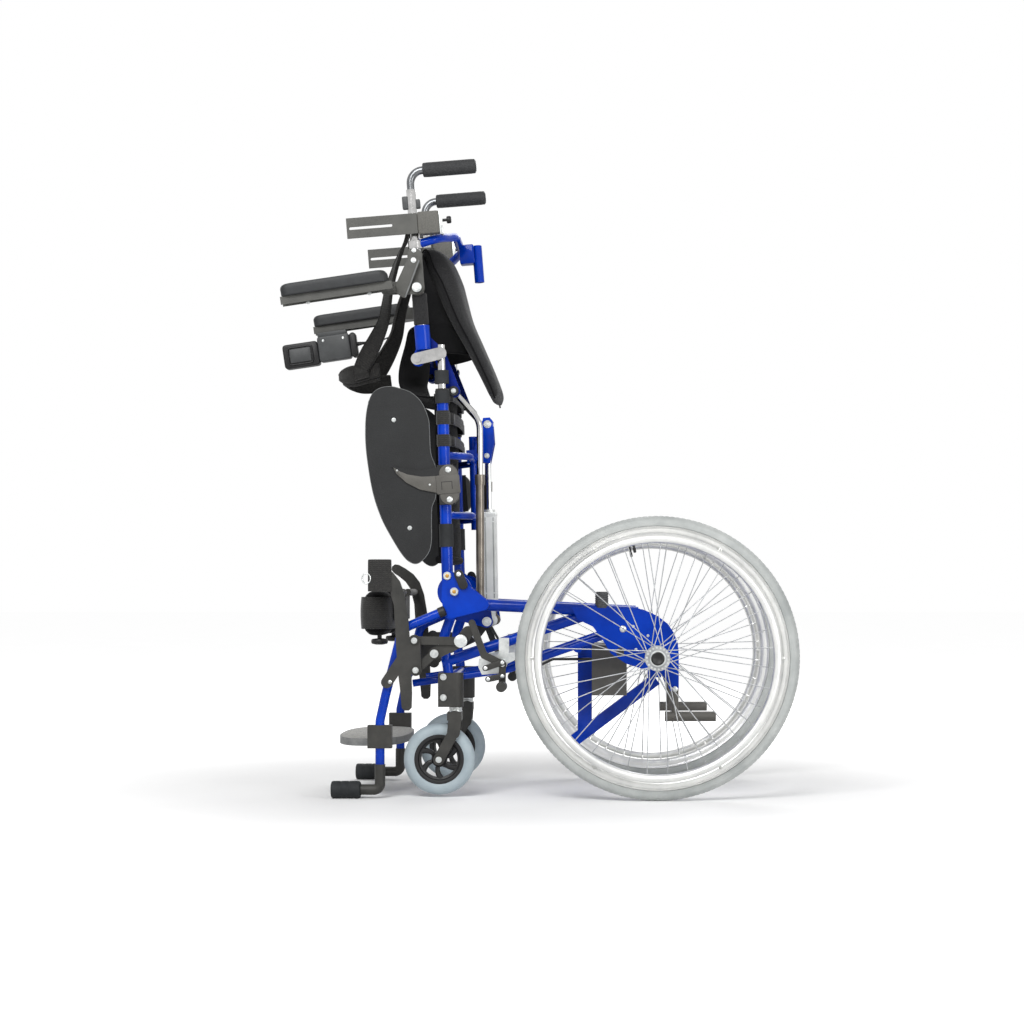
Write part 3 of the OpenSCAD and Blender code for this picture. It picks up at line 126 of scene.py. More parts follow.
def skin(points, close_ends=True, loop=False):
    """Quads over a grid of closed rings; its ends get flat caps, or its last ring joins the first.

    The pattern place of a corner is its length along the first line of the grid and round the first ring.
    """
    rings, around = points.shape[:2]
    stretch = np.linalg.norm(np.diff(points[:, 0], axis=0), axis=1)
    ahead = np.concatenate([[0], np.cumsum(stretch), [np.sum(stretch) * rings / max(rings - 1, 1)]])
    edge = np.linalg.norm(np.roll(points[0], -1, axis=0) - points[0], axis=1)
    across = np.concatenate([[0], np.cumsum(edge)])
    a, b = np.meshgrid(np.arange(rings if loop else rings - 1), np.arange(around), indexing="ij")
    c, d = (a + 1) % rings, (b + 1) % around
    quads = np.stack([a * around + b, c * around + b, c * around + d, a * around + d], -1).reshape(-1, 4)
    u = np.stack([ahead[a], ahead[a + 1], ahead[a + 1], ahead[a]], -1).reshape(-1)
    v = np.stack([across[b], across[b], across[b + 1], across[b + 1]], -1).reshape(-1)
    faces, place = quads.tolist(), np.stack([u, v], -1)
    if close_ends and not loop:
        faces += [list(range(around))[::-1], list(range((rings - 1) * around, rings * around))]
        place = np.concatenate([place, np.zeros((2 * around, 2))])
    return points.reshape(-1, 3), faces, place


def sheet_grid(points):
    """Quads over an open grid of points, with the pattern running along its two directions."""
    rows, cols = points.shape[:2]
    u = np.concatenate([[0], np.cumsum(np.linalg.norm(np.diff(points[:, 0], axis=0), axis=1))])
    v = np.concatenate([[0], np.cumsum(np.linalg.norm(np.diff(points[0], axis=0), axis=1))])
    a, b = np.meshgrid(np.arange(rows - 1), np.arange(cols - 1), indexing="ij")
    quads = np.stack([a * cols + b, (a + 1) * cols + b, (a + 1) * cols + b + 1, a * cols + b + 1], -1)
    place = np.stack([np.stack([u[a], u[a + 1], u[a + 1], u[a]], -1),
                      np.stack([v[b], v[b], v[b + 1], v[b + 1]], -1)], -1)
    return points.reshape(-1, 3), quads.reshape(-1, 4).tolist(), place.reshape(-1, 2)


def lathe(profile, at, axis, around=32):
    """A profile of (radius, height) turned round a line: p = at + r (u cos t + v sin t) + h w."""
    w = unit(axis)
    u = unit(np.cross(w, (0.3, 0.9, 0.2) if abs(w[1]) < 0.9 else (1, 0, 0)))
    v = np.cross(w, u)
    t = round_turn(around)
    r, h = np.asarray(profile, float).T
    ring = np.cos(t)[:, None] * u + np.sin(t)[:, None] * v
    return skin(np.asarray(at, float) + r[:, None, None] * ring + h[:, None, None] * w)


def hoop(section, at, axis, around=96):
    """A closed (radius, height) section turned round a line into a ring without ends."""
    points, _, _ = lathe(section, at, axis, around)
    return skin(points.reshape(len(section), around, 3), loop=True)


def curve(points, count, closed=False):
    """A smooth line through points: Catmull-Rom cubics, sampled evenly in the points' order."""
    p = np.asarray(points, float)
    n = len(p)
    t = np.linspace(0, n if closed else n - 1, count, endpoint=not closed)
    i = np.minimum(t.astype(int), n - 1 if closed else n - 2)
    f = (t - i)[:, None]
    if closed:
        a, b, c, d = p[(i - 1) % n], p[i], p[(i + 1) % n], p[(i + 2) % n]
    else:
        a, b, c, d = p[np.maximum(i - 1, 0)], p[i], p[i + 1], p[np.minimum(i + 2, n - 1)]
    return 0.5 * (2 * b + (c - a) * f + (2 * a - 5 * b + 4 * c - d) * f**2 + (3 * b - a - 3 * c + d) * f**3)


def eased(values, count):
    """Plain numbers eased along a line by the same cubics."""
    return curve(np.array(values, float)[:, None], count)[:, 0]


def oval(t, power):
    """An oval's two shares: sign(cos) |cos|^q and sign(sin) |sin|^q, squarer as q falls below one."""
    c, s = np.cos(t), np.sin(t)
    return np.sign(c) * np.abs(c) ** power, np.sign(s) * np.abs(s) ** power


def sweep(path, widths, depths, sideways, around=24, square=1.0, loop=False, under=1.0):
    """An oval section carried along a path: p = path + w s |cos|^q + d n |sin|^q, n square to path and side.

    The half that lies against n takes only a share of the depth.
    """
    path = np.asarray(path, float)
    if loop:
        ahead = unit(np.roll(path, -1, axis=0) - np.roll(path, 1, axis=0))
    else:
        ahead = unit(np.gradient(path, axis=0))
    side = np.broadcast_to(np.asarray(sideways, float), path.shape)
    side = unit(side - np.sum(side * ahead, -1, keepdims=True) * ahead)
    lift = np.cross(ahead, side)
    t = round_turn(around)
    c, s = oval(t, square)
    s = np.where(s < 0, under * s, s)
    w = np.broadcast_to(np.asarray(widths, float), len(path))[:, None, None]
    d = np.broadcast_to(np.asarray(depths, float), len(path))[:, None, None]
    points = path[:, None] + w * c[:, None] * side[:, None] + d * s[:, None] * lift[:, None]
    return skin(points, loop=loop)


def tube(path, r, sideways=(0, 1, 0), around=14, loop=False):
    """A round section carried along a path."""
    return sweep(path, r, r, sideways, around, loop=loop)


def rounded(outline, r, steps=5):
    """A polygon whose corners are quadratic curves that start r before each corner and end r after it."""
    p = np.asarray(outline, float)
    back = p + r * unit(np.roll(p, 1, axis=0) - p)
    on = p + r * unit(np.roll(p, -1, axis=0) - p)
    f = np.linspace(0, 1, steps)[None, :, None]
    bend = back[:, None] * (1 - f) ** 2 + 2 * p[:, None] * f * (1 - f) + on[:, None] * f**2
    return bend.reshape(-1, 2)


def plate(outline, y0, y1, edge=0.8):
    """A flat plate from an X and Z outline between two Y faces, with round edges.

    Its rings are set in by e (1 - sin k) at a depth of e (1 - cos k).
    """
    p = np.asarray(outline, float)
    along = unit(np.roll(p, -1, axis=0) - p)
    before = np.roll(along, 1, axis=0)
    if np.sum(p[:, 0] * np.roll(p[:, 1], -1) - np.roll(p[:, 0], -1) * p[:, 1]) < 0:
        along, before = -along, -before
    square_to = np.stack([-(along + before)[:, 1], (along + before)[:, 0]], -1)
    inward = square_to / np.maximum(1 + np.sum(along * before, -1, keepdims=True), 0.5)
    k = np.linspace(0, math.pi / 2, 4)
    inset = edge * (1 - np.sin(k))
    depth = edge * (1 - np.cos(k))
    inset = np.concatenate([inset, inset[::-1]])
    level = np.concatenate([y0 + depth, y1 - depth[::-1]])
    flat = p[None] + inset[:, None, None] * inward[None]
    return skin(xyz(flat[..., 0], level[:, None], flat[..., 1]))


def box(b, y0, y1, corner=3, edge=1):
    """A block with round corners from low and high X and Z, between two Y faces."""
    outline = [(b[0], b[2]), (b[1], b[2]), (b[1], b[3]), (b[0], b[3])]
    return plate(rounded(outline, corner), y0, y1, edge)


def strip(line, y0, y1, edge=0.8):
    """A plate with half-round ends: its line is two X and Z points and half a width."""
    a, b = np.asarray(line[:2], float)
    half = line[2]
    turn = math.atan2(*(b - a)[::-1])
    t = np.linspace(-math.pi / 2, math.pi / 2, 13) + turn
    ring = half * np.stack([np.cos(t), np.sin(t)], -1)
    return plate(np.concatenate([b + ring, a - ring]), y0, y1, edge)


def hex_bolt(at, r, out):
    """A washer and a six-sided head with a chamfer and a stud end, standing off a face along out."""
    h = 0.7 * r
    washer = [(0.2, 0), (1.2 * r, 0), (1.24 * r, 0.12 * r), (1.16 * r, 0.25 * r), (0.2, 0.25 * r)]
    head = [(0.2, 0.25 * r), (r, 0.25 * r), (r, h), (0.86 * r, 1.15 * h), (0.2, 1.15 * h)]
    stud = [(0.1, h), (0.5 * r, h), (0.5 * r, 1.4 * h), (0.4 * r, 1.55 * h), (0.1, 1.55 * h)]
    return [lathe(washer, at, out, 20), lathe(head, at, out, 6), lathe(stud, at, out, 12)]


def dome_bolt(at, r, out):
    """A low dome head with a six-sided socket let into it."""
    t = np.linspace(0, math.pi / 2, 6)
    cap = [(r * math.cos(x), 0.45 * r * math.sin(x)) for x in t if math.cos(x) > 0.45]
    profile = [(0.2, 0), (r, 0)] + cap + [(0.42 * r, 0.4 * r), (0.38 * r, 0.12 * r), (0.1, 0.12 * r)]
    return [lathe(profile, at, out, 24)]


def rivet(at, r, out):
    """A flat button with a round edge and a small dimple."""
    profile = [(0.1, 0), (r, 0), (r, 0.2 * r), (0.85 * r, 0.38 * r), (0.35 * r, 0.4 * r),
               (0.2 * r, 0.25 * r), (0.05, 0.25 * r)]
    return [lathe(profile, at, out, 20)]


def on_side(s, at):
    """A place on one side of the chair, from the right-hand one."""
    return at[0], s * at[1], at[2]


def faces_of(s, near, far):
    """Two Y faces on one side of the chair, the low one first."""
    return sorted((s * near, s * far))


def mirrored(shells):
    """The same surfaces on the other side of the chair."""
    return [(np.asarray(p) * (1, -1, 1), faces, place) for p, faces, place in shells]


def mesh_of(name, shells, place_on=on_chassis):
    """One mesh object from surfaces, in metres, with outward normals and a pattern map in millimetres."""
    points, faces, places, base = [], [], [], 0
    for p, f, place in shells:
        points.append(place_on(p) * MM)
        faces += [[i + base for i in face] for face in f]
        places.append(place)
        base += len(p)
    mesh = bpy.data.meshes.new(name)
    mesh.from_pydata(np.concatenate(points).tolist(), [], faces)
    layer = mesh.uv_layers.new(name="pattern")
    layer.data.foreach_set("uv", (np.concatenate(places) * MM).astype(np.float32).ravel())
    work = bmesh.new()
    work.from_mesh(mesh)
    bmesh.ops.recalc_face_normals(work, faces=work.faces)
    work.to_mesh(mesh)
    work.free()
    mesh.shade_smooth()
    mesh.set_sharp_from_angle(angle=SHARP)
    obj = bpy.data.objects.new(name, mesh)
    bpy.context.scene.collection.objects.link(obj)
    return obj


def piece(name, shells, material, body, place_on=on_chassis):
    """A finished piece that rides on a body."""
    return dress(mesh_of(name, shells, place_on), material, body)


def dress(obj, material, body):
    """Gives a piece its material and its body."""
    obj.data.materials.clear()
    obj.data.materials.append(material)
    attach(obj, body)
    return obj


# Finishes

BUMP_REACH = 0.0006
# Share of painted shade that a weave puts into its dips
WEAVE_PAINTED_SHADE = 0.55


def tone(r, g, b):
    """A display colour from 0 to 255 as the linear colour that a shader takes."""
    c = np.array([r, g, b]) / 255
    c = np.where(c <= 0.04045, c / 12.92, ((c + 0.055) / 1.055) ** 2.4)
    return (*c.tolist(), 1.0)


def set_inputs(made, values):
    """Puts plain values on a node's inputs; an underscore stands for a space in a name."""
    for title, value in values.items():
        made.inputs[title.replace("_", " ")].default_value = value


def node(tree, kind, operation=None, **values):
    """A new shader node with its operation, where it has one, and plain values on its inputs."""
    made = tree.nodes.new("ShaderNode" + kind)
    if operation:
        made.operation = operation
    set_inputs(made, values)
    return made


def colour_mix(tree, blend="MIX"):
    """A mix of two colours."""
    mix = tree.nodes.new("ShaderNodeMix")
    mix.data_type = "RGBA"
    mix.blend_type = blend
    return mix


def join(tree, *ends):
    """Links nodes: each end is a node, its output, the next node and that node's input."""
    for source, given, target, taken in ends:
        tree.links.new(source.outputs[given], target.inputs[taken])


def new_group(name, sockets_in, sockets_out):
    """An empty shader group with named sockets, and its two end nodes."""
    group = bpy.data.node_groups.new(name, "ShaderNodeTree")
    for title, kind, value in sockets_in:
        made = group.interface.new_socket(title, in_out="INPUT", socket_type="NodeSocket" + kind)
        made.default_value = value
    for title, kind in sockets_out:
        group.interface.new_socket(title, in_out="OUTPUT", socket_type="NodeSocket" + kind)
    return group, group.nodes.new("NodeGroupInput"), group.nodes.new("NodeGroupOutput")


def mottle_group():
    """Two colours mixed by soft noise, and a roughness that follows the same noise."""
    group, given, out = new_group(
        "mottle",
        [("Dark", "Color", (0, 0, 0, 1)), ("Light", "Color", (1, 1, 1, 1)), ("Scale", "Float", 20.0),
         ("Rough low", "Float", 0.3), ("Rough high", "Float", 0.5)],
        [("Color", "Color"), ("Rough", "Float")])
    coord = node(group, "TexCoord")
    noise = node(group, "TexNoise", Detail=6, Roughness=0.6)
    spread = node(group, "MapRange", From_Min=0.3, From_Max=0.7)
    mix = colour_mix(group)
    rough = node(group, "MapRange")
    join(group,
         (coord, "Object", noise, "Vector"), (given, "Scale", noise, "Scale"),
         (noise, "Fac", spread, "Value"), (spread, "Result", mix, "Factor"),
         (given, "Dark", mix, "A"), (given, "Light", mix, "B"), (mix, "Result", out, "Color"),
         (noise, "Fac", rough, "Value"), (given, "Rough low", rough, "To Min"),
         (given, "Rough high", rough, "To Max"), (rough, "Result", out, "Rough"))
    return group


def grain_group():
    """Fine surface grain: small cells pressed into soft noise, as a height."""
    group, given, out = new_group(
        "grain", [("Scale", "Float", 900.0), ("Cells", "Float", 0.5)], [("Height", "Float")])
    coord = node(group, "TexCoord")
    noise = node(group, "TexNoise")
    cells = node(group, "TexVoronoi")
    mix = node(group, "Mix")
    join(group,
         (coord, "Object", noise, "Vector"), (coord, "Object", cells, "Vector"),
         (given, "Scale", noise, "Scale"), (given, "Scale", cells, "Scale"),
         (given, "Cells", mix, "Factor"), (noise, "Fac", mix, "A"), (cells, "Distance", mix, "B"),
         (mix, "Result", out, "Height"))
    return group


def brushed_group():
    """Drawn metal: noise stretched along one direction, as a height."""
    group, given, out = new_group("brushed", [("Stretch", "Vector", (40, 900, 900))], [("Height", "Float")])
    coord = node(group, "TexCoord")
    scale = node(group, "VectorMath", "MULTIPLY")
    noise = node(group, "TexNoise", Scale=1, Detail=4)
    join(group,
         (coord, "Object", scale, 0), (given, "Stretch", scale, 1),
         (scale, "Vector", noise, "Vector"), (noise, "Fac", out, "Height"))
    return group


def weave_group():
    """Webbing: ribs along the pattern crossed by finer threads, over and under by turns."""
    group, given, out = new_group(
        "weave", [("Ribs", "Float", 400.0), ("Threads", "Float", 900.0)], [("Height", "Float")])
    coord = node(group, "TexCoord")
    split = node(group, "SeparateXYZ")
    join(group, (coord, "UV", split, "Vector"))
    waves = []
    for axis, count in (("X", "Ribs"), ("Y", "Threads")):
        turns = node(group, "Math", "MULTIPLY")
        wave = node(group, "Math", "SINE")
        join(group, (split, axis, turns, 0), (given, count, turns, 1), (turns, "Value", wave, 0))
        waves.append(wave)
    ribs, threads = waves
    cross = node(group, "Math", "MULTIPLY")
    both = node(group, "Math", "ADD")
    level = node(group, "Math", "MULTIPLY_ADD")
    level.inputs[1].default_value = 0.25
    level.inputs[2].default_value = 0.5
    join(group,
         (ribs, "Value", cross, 0), (threads, "Value", cross, 1), (cross, "Value", both, 0),
         (ribs, "Value", both, 1), (both, "Value", level, 0), (level, "Value", out, "Height"))
    return group


GROUPS = {"mottle": mottle_group(), "grain": grain_group(), "brushed": brushed_group(),
          "weave": weave_group()}


def use_group(tree, name, **values):
    """A group placed in a material with its own values."""
    made = tree.nodes.new("ShaderNodeGroup")
    made.node_tree = GROUPS[name]
    set_inputs(made, values)
    return made


def finish(name, dark, light, scale, rough, grain=(900, 0.5), depth=0.2, metallic=0.0, coat=0.0,
           coat_rough=0.08, sheen=0.0, specular=0.5, weave=None, brushed=None):
    """A surface: mottled colour and roughness, with grain, weave or brushing as bump; a weave also darkens
    the colour in its dips as painted shade.
    """
    material = bpy.data.materials.new(name)
    material.use_nodes = True
    tree = material.node_tree
    shader = tree.nodes["Principled BSDF"]
    set_inputs(shader, {"Metallic": metallic, "Coat Weight": coat, "Coat Roughness": coat_rough,
                        "Sheen Weight": sheen, "Specular IOR Level": specular})
    colour = use_group(tree, "mottle", Dark=tone(*dark), Light=tone(*light), Scale=scale,
                       Rough_low=rough[0], Rough_high=rough[1])
    bump = node(tree, "Bump", Strength=depth, Distance=BUMP_REACH)
    paint = colour, "Color"
    if weave:
        height = use_group(tree, "weave", Ribs=weave[0], Threads=weave[1])
        # Painted shade: the weave's height darkens the colour where the threads dip
        painted_shade = colour_mix(tree, "MULTIPLY")
        painted_shade.inputs["Factor"].default_value = WEAVE_PAINTED_SHADE
        join(tree, (colour, "Color", painted_shade, "A"), (height, "Height", painted_shade, "B"))
        paint = painted_shade, "Result"
    elif brushed:
        height = use_group(tree, "brushed", Stretch=brushed)
    else:
        height = use_group(tree, "grain", Scale=grain[0], Cells=grain[1])
    join(tree, (*paint, shader, "Base Color"), (colour, "Rough", shader, "Roughness"),
         (height, "Height", bump, "Height"), (bump, "Normal", shader, "Normal"))
    return material


BLUE = finish("blue_gloss", (0, 40, 136), (0, 60, 184), 9, (0.24, 0.34), (260, 0.2), 0.05,
              coat=0.3, coat_rough=0.06, specular=0.04)
DEEP_BLUE = finish("deep_blue", (0, 22, 96), (0, 32, 128), 14, (0.3, 0.42), (300, 0.2), 0.06,
                   coat=0.06, specular=0.12)
BRACKET = finish("grey_powder_coat", (58, 58, 55), (76, 76, 72), 30, (0.46, 0.6),
                 (1500, 0.6), 0.3)
BLACK_COAT = finish("black_powder_coat", (38, 38, 36), (56, 55, 52), 26, (0.42, 0.56),
                    (1500, 0.6), 0.3, specular=0.35)
GUARD = finish("guard_board", (20, 21, 22), (31, 32, 33), 16, (0.5, 0.66), (700, 0.7), 0.4,
               specular=0.3)
PLASTIC = finish("black_plastic", (18, 18, 19), (30, 30, 31), 40, (0.36, 0.5), (1300, 0.5),
                 0.25, specular=0.35)
GREY_PLASTIC = finish("grey_plastic", (48, 50, 51), (64, 66, 67), 40, (0.42, 0.55),
                      (1300, 0.5), 0.25)
TRIM = finish("guard_edge", (84, 86, 86), (112, 114, 114), 60, (0.4, 0.6), (900, 0.4), 0.2)
RUBBER = finish("black_rubber", (26, 28, 30), (42, 44, 46), 35, (0.6, 0.8), (900, 0.6), 0.35,
                specular=0.3)
GRIP = finish("grip_rubber", (28, 29, 31), (56, 57, 58), 320, (0.5, 0.75), (1100, 0.7), 0.6,
              specular=0.35)
TYRE = finish("grey_tyre", (150, 154, 153), (178, 181, 179), 18, (0.55, 0.7), (800, 0.5), 0.25,
              specular=0.35)
CASTER_TYRE = finish("caster_tyre", (142, 155, 162), (164, 176, 181), 22, (0.45, 0.6), (800, 0.4), 0.15,
                     specular=0.4)
ALLOY = finish("rim_alloy", (214, 215, 213), (236, 236, 233), 20, (0.26, 0.4), metallic=0.75,
               depth=0.08, brushed=(300, 900, 300))
STEEL = finish("zinc_steel", (196, 200, 200), (230, 232, 230), 90, (0.22, 0.38),
               (700, 0.4), 0.12, metallic=1.0)
CHROME = finish("chrome", (172, 172, 171), (206, 205, 204), 30, (0.08, 0.16), (300, 0.2), 0.03,
                metallic=1.0)
STRUT = finish("strut_aluminium", (206, 208, 206), (224, 226, 224), 24, (0.34, 0.46),
               metallic=0.55, depth=0.12, brushed=(900, 900, 60))
# Darker grey for the strut's grooves: painted shade in the recesses
STRUT_GROOVE_PAINTED_SHADE = finish("strut_groove", (150, 153, 152), (172, 174, 173), 24, (0.36, 0.5),
                     (700, 0.4), 0.1, metallic=0.5)
SPOKE = finish("bright_wire", (150, 152, 154), (184, 186, 188), 60, (0.25, 0.4), (700, 0.4), 0.05,
               metallic=0.4)
GUNMETAL = finish("dark_steel", (92, 94, 96), (124, 126, 128), 40, (0.2, 0.35), (700, 0.4), 0.08,
                  metallic=0.85)
ROD = finish("rod_steel", (104, 98, 90), (128, 121, 112), 40, (0.25, 0.4), (700, 0.4), 0.08,
             metallic=0.8)
WARM_GREY = finish("warm_grey_coat", (70, 68, 64), (84, 82, 77), 30, (0.46, 0.6),
                   (1500, 0.6), 0.3)
BUMPER = finish("bumper_rubber", (70, 71, 72), (88, 89, 90), 35, (0.6, 0.8), (900, 0.6), 0.3,
                specular=0.3)
BRASS = finish("brass", (168, 128, 66), (196, 152, 84), 90, (0.3, 0.45), (700, 0.4), 0.1,
               metallic=1.0)
LEAD = finish("lead_sheath", (22, 22, 23), (34, 34, 35), 60, (0.4, 0.55), (900, 0.4), 0.15)
BOARD = finish("board_rubber", (96, 98, 99), (126, 127, 126), 45, (0.5, 0.7), (900, 0.6), 0.35)
# Lighter than the board's sides: painted highlight on the ribbed top of the foot board
RIBS_PAINTED_HIGHLIGHT = finish("board_ribs", (120, 119, 115), (172, 171, 166), 140, (0.5, 0.7), (900, 0.6), 0.35)
WEBBING = finish("webbing", (26, 26, 27), (58, 57, 55), 240, (0.7, 0.9), depth=0.9, sheen=0.1,
                 weave=(1300, 2600), specular=0.15)
RIBBED = finish("ribbed_webbing", (34, 34, 34), (58, 57, 55), 260, (0.7, 0.9), depth=1.0, sheen=0.2,
                weave=(1500, 900), specular=0.25)
CLOTH = finish("black_cloth", (8, 8, 9), (22, 22, 24), 200, (0.75, 0.92), depth=0.7, sheen=0.05,
               weave=(2600, 2600), specular=0.1)
SPACER = finish("spacer_fabric", (14, 14, 15), (52, 52, 53), 620, (0.7, 0.9), (620, 0.9), 0.9,
                sheen=0.1, specular=0.15)
VINYL = finish("pad_vinyl", (24, 26, 28), (38, 40, 42), 60, (0.42, 0.56), (1200, 0.7), 0.35,
               specular=0.4)
CHEST_COAT = finish("chest_cover", (62, 61, 58), (100, 99, 93), 420, (0.5, 0.65),
                    (1100, 0.6), 0.5)

NODE_FINISHES = (
    (BLUE, "side_frames cross_frame seat_tubes seat_cross_frame back_sockets back_crossbar leg_tubes"),
    (DEEP_BLUE, "rod_brackets"),
    (BRACKET, "chest_brackets arm_brackets left_arm_rail right_arm_rail"),
    (BLACK_COAT, "caster_housings link_plates upper_links lower_links knee_bars left_fork right_fork"),
    (BLACK_COAT, "left_brake right_brake foot_stands"),
    (WARM_GREY, "tipping_levers battery_box"),
    (ROD, "back_rods"),
    (GUNMETAL, "handle_tubes"),
    (GUARD, "side_guards"),
    (RUBBER, "seat_bumpers foot_tips seat_collars"),
    (LEAD, "power_lead control_lead"),
    (STEEL, "pivot_pins lift_rod"),
    (SPOKE, "left_spokes right_spokes"),
    (CHROME, "seat_slides back_posts rod_tips"),
    (STRUT, "lift_body"),
    (ALLOY, "left_rim right_rim left_handrim right_handrim"),
    (TYRE, "left_tyre right_tyre"),
    (CASTER_TYRE, "left_caster_tyre right_caster_tyre"),
    (PLASTIC, "left_caster_hub right_caster_hub control_box"),
    (GREY_PLASTIC, "rocker"),
    (BOARD, "foot_board"),
    (GRIP, "handle_grips"),
    (CLOTH, "seat_sling back_panel harness knee_pads"),
    (VINYL, "left_arm_pad right_arm_pad"),
)


def coat_nodes():
    """Gives every CAD node its finish."""
    for material, names in NODE_FINISHES:
        for name in names.split():
            slots = nodes[name].data.materials
            if not slots:
                slots.append(material)
            for i in range(len(slots)):
                slots[i] = material


# Camera and light

CAMERA_AT = (174.5, -4935, 451.2)
FOCAL_PX = 2170
FRAME_PX = 1024
AIM_PX = (604, 590)
SENSOR = 36
WORLD_LIGHT = 0.42
FLOOR_HALF = 40000
FLOOR_GLOW = 0.6
FADE_START = 0.5
FADE_END = 2.0
LAMPS = (
    ("key", (-1.1, -3.8, 3.3), (0, 0, 0.7), 2.2, 150),
    ("fill", (2.9, -3.2, 1.1), (0.1, 0, 0.7), 1.8, 58),
    ("back_light", (1.0, 3.4, 3.2), (0, 0, 0.8), 2.4, 70),
)


def set_camera():
    """A level camera looking along +Y; the photograph's frame is shifted from the point straight ahead."""
    data = bpy.data.cameras.new("camera")
    data.sensor_width = SENSOR
    data.lens = FOCAL_PX / FRAME_PX * SENSOR
    data.shift_x = (FRAME_PX / 2 - AIM_PX[0]) / FRAME_PX
    data.shift_y = (AIM_PX[1] - FRAME_PX / 2) / FRAME_PX
    obj = bpy.data.objects.new("camera", data)
    obj.location = np.array(CAMERA_AT) * MM
    obj.rotation_euler = (math.pi / 2, 0, 0)
    bpy.context.scene.collection.objects.link(obj)
    bpy.context.scene.camera = obj


def set_world():
    """White where it is seen, directly or in metal, and a softer white for the light it gives."""
    world = bpy.data.worlds.new("studio")
    bpy.context.scene.world = world
    world.use_nodes = True
    tree = world.node_tree
    background = tree.nodes["Background"]
    background.inputs["Color"].default_value = (1, 1, 1, 1)
    ray = node(tree, "LightPath")
    shown = node(tree, "Math", "MAXIMUM")
    seen = node(tree, "Math", "MAXIMUM")
    level = node(tree, "MapRange", To_Min=WORLD_LIGHT, To_Max=1.0)
    join(tree,
         (ray, "Is Camera Ray", shown, 0), (ray, "Is Glossy Ray", shown, 1), (shown, "Value", seen, 0),
         (ray, "Is Transmission Ray", seen, 1), (seen, "Value", level, "Value"),
         (level, "Result", background, "Strength"))


def set_lamp(name, at, aim, size, power):
    """A square soft box at a point, turned to face another point."""
    data = bpy.data.lights.new(name, "AREA")
    data.size = size
    data.energy = power
    obj = bpy.data.objects.new(name, data)
    z = unit(np.array(at) - np.array(aim))
    x = unit(np.cross((0, 0, 1), z))
    y = np.cross(z, x)
    turn = np.stack([x, y, z], 1)
    obj.matrix_world = Matrix([[*turn[i], at[i]] for i in range(3)] + [[0, 0, 0, 1]])
    bpy.context.scene.collection.objects.link(obj)


def set_floor():
    """A wide pale floor that keeps the chair's shadow near it and fades to plain white further off."""
    ends = np.array((-FLOOR_HALF, FLOOR_HALF), float)
    floor = mesh_of("floor", [sheet_grid(xyz(ends[:, None], ends, 0))])
    material = finish("floor", (244, 244, 244), (248, 248, 248), 2, (0.9, 1.0), depth=0.0, specular=0.0)
    tree = material.node_tree
    shader = tree.nodes["Principled BSDF"]
    shader.inputs["Emission Strength"].default_value = FLOOR_GLOW
    coord = node(tree, "TexCoord")
    away = node(tree, "VectorMath", "LENGTH")
    fade = node(tree, "MapRange", From_Min=FADE_START, From_Max=FADE_END)
    fade.interpolation_type = "SMOOTHSTEP"
    ray = node(tree, "LightPath")
    seen = node(tree, "Math", "MULTIPLY")
    join(tree,
         (coord, "Object", away, 0), (away, "Value", fade, "Value"), (fade, "Result", seen, 0),
         (ray, "Is Camera Ray", seen, 1), (seen, "Value", shader, "Emission Color"))
    floor.data.materials.append(material)


# Trim that is the same on both sides

UP = (0, 0, 1)
OUT = (0, 1, 0)
REAR = (1, 0, 0)
HUB_FACE = 30.2
HUB_END = (AXLE[0], HALF_TRACK + HUB_FACE, AXLE[1])
KNEE_BUTTONS = [(-166.1, 222, 481.8), (-150.6, 226.1, 447.5)]
ROD_END = (71.8, 175.1, -72.3)
ROD_KNOB_RISE = 8.8
BUMPER_RIBS = [p for z in range(420, 445, 5)
               for p in ((13.4, z), (14.5, z + 1), (14.5, z + 3.6), (13.4, z + 4.6))]
FOOT_SHRINK = 0.975
FOOT = [(0.3, -64), (15, -64), (18.2, -62.6), (19.4, -59), (19.4, -45), (18.7, -44), (18.7, -42), (19.4, -41),
        (19.4, -27), (18.7, -26), (18.7, -24), (19.4, -23), (19.4, -6), (18.4, -2), (15, 0), (0.3, 0)]
ARM_PLATE = [(1, 224), (25, 216), (-15, 131), (-40, 150)]
GUARD_ARM = [(8, 200), (16, 214), (16, 254), (-16, 253), (-50, 254), (-80, 261), (-98, 270), (-112, 281),
             (-104, 264), (-84, 243), (-56, 226), (-16, 215)]

HINGE_LINES = ((-9, 15, 238, 239.4), (-9, -7.6, 222, 239.4), (13.6, 15, 222, 239.4))
TOGGLES = (((-80.7, 283), (-44, 295)), ((-74.7, 259.3), (-44, 265.8)))
TOGGLE_Y = (264, 268)

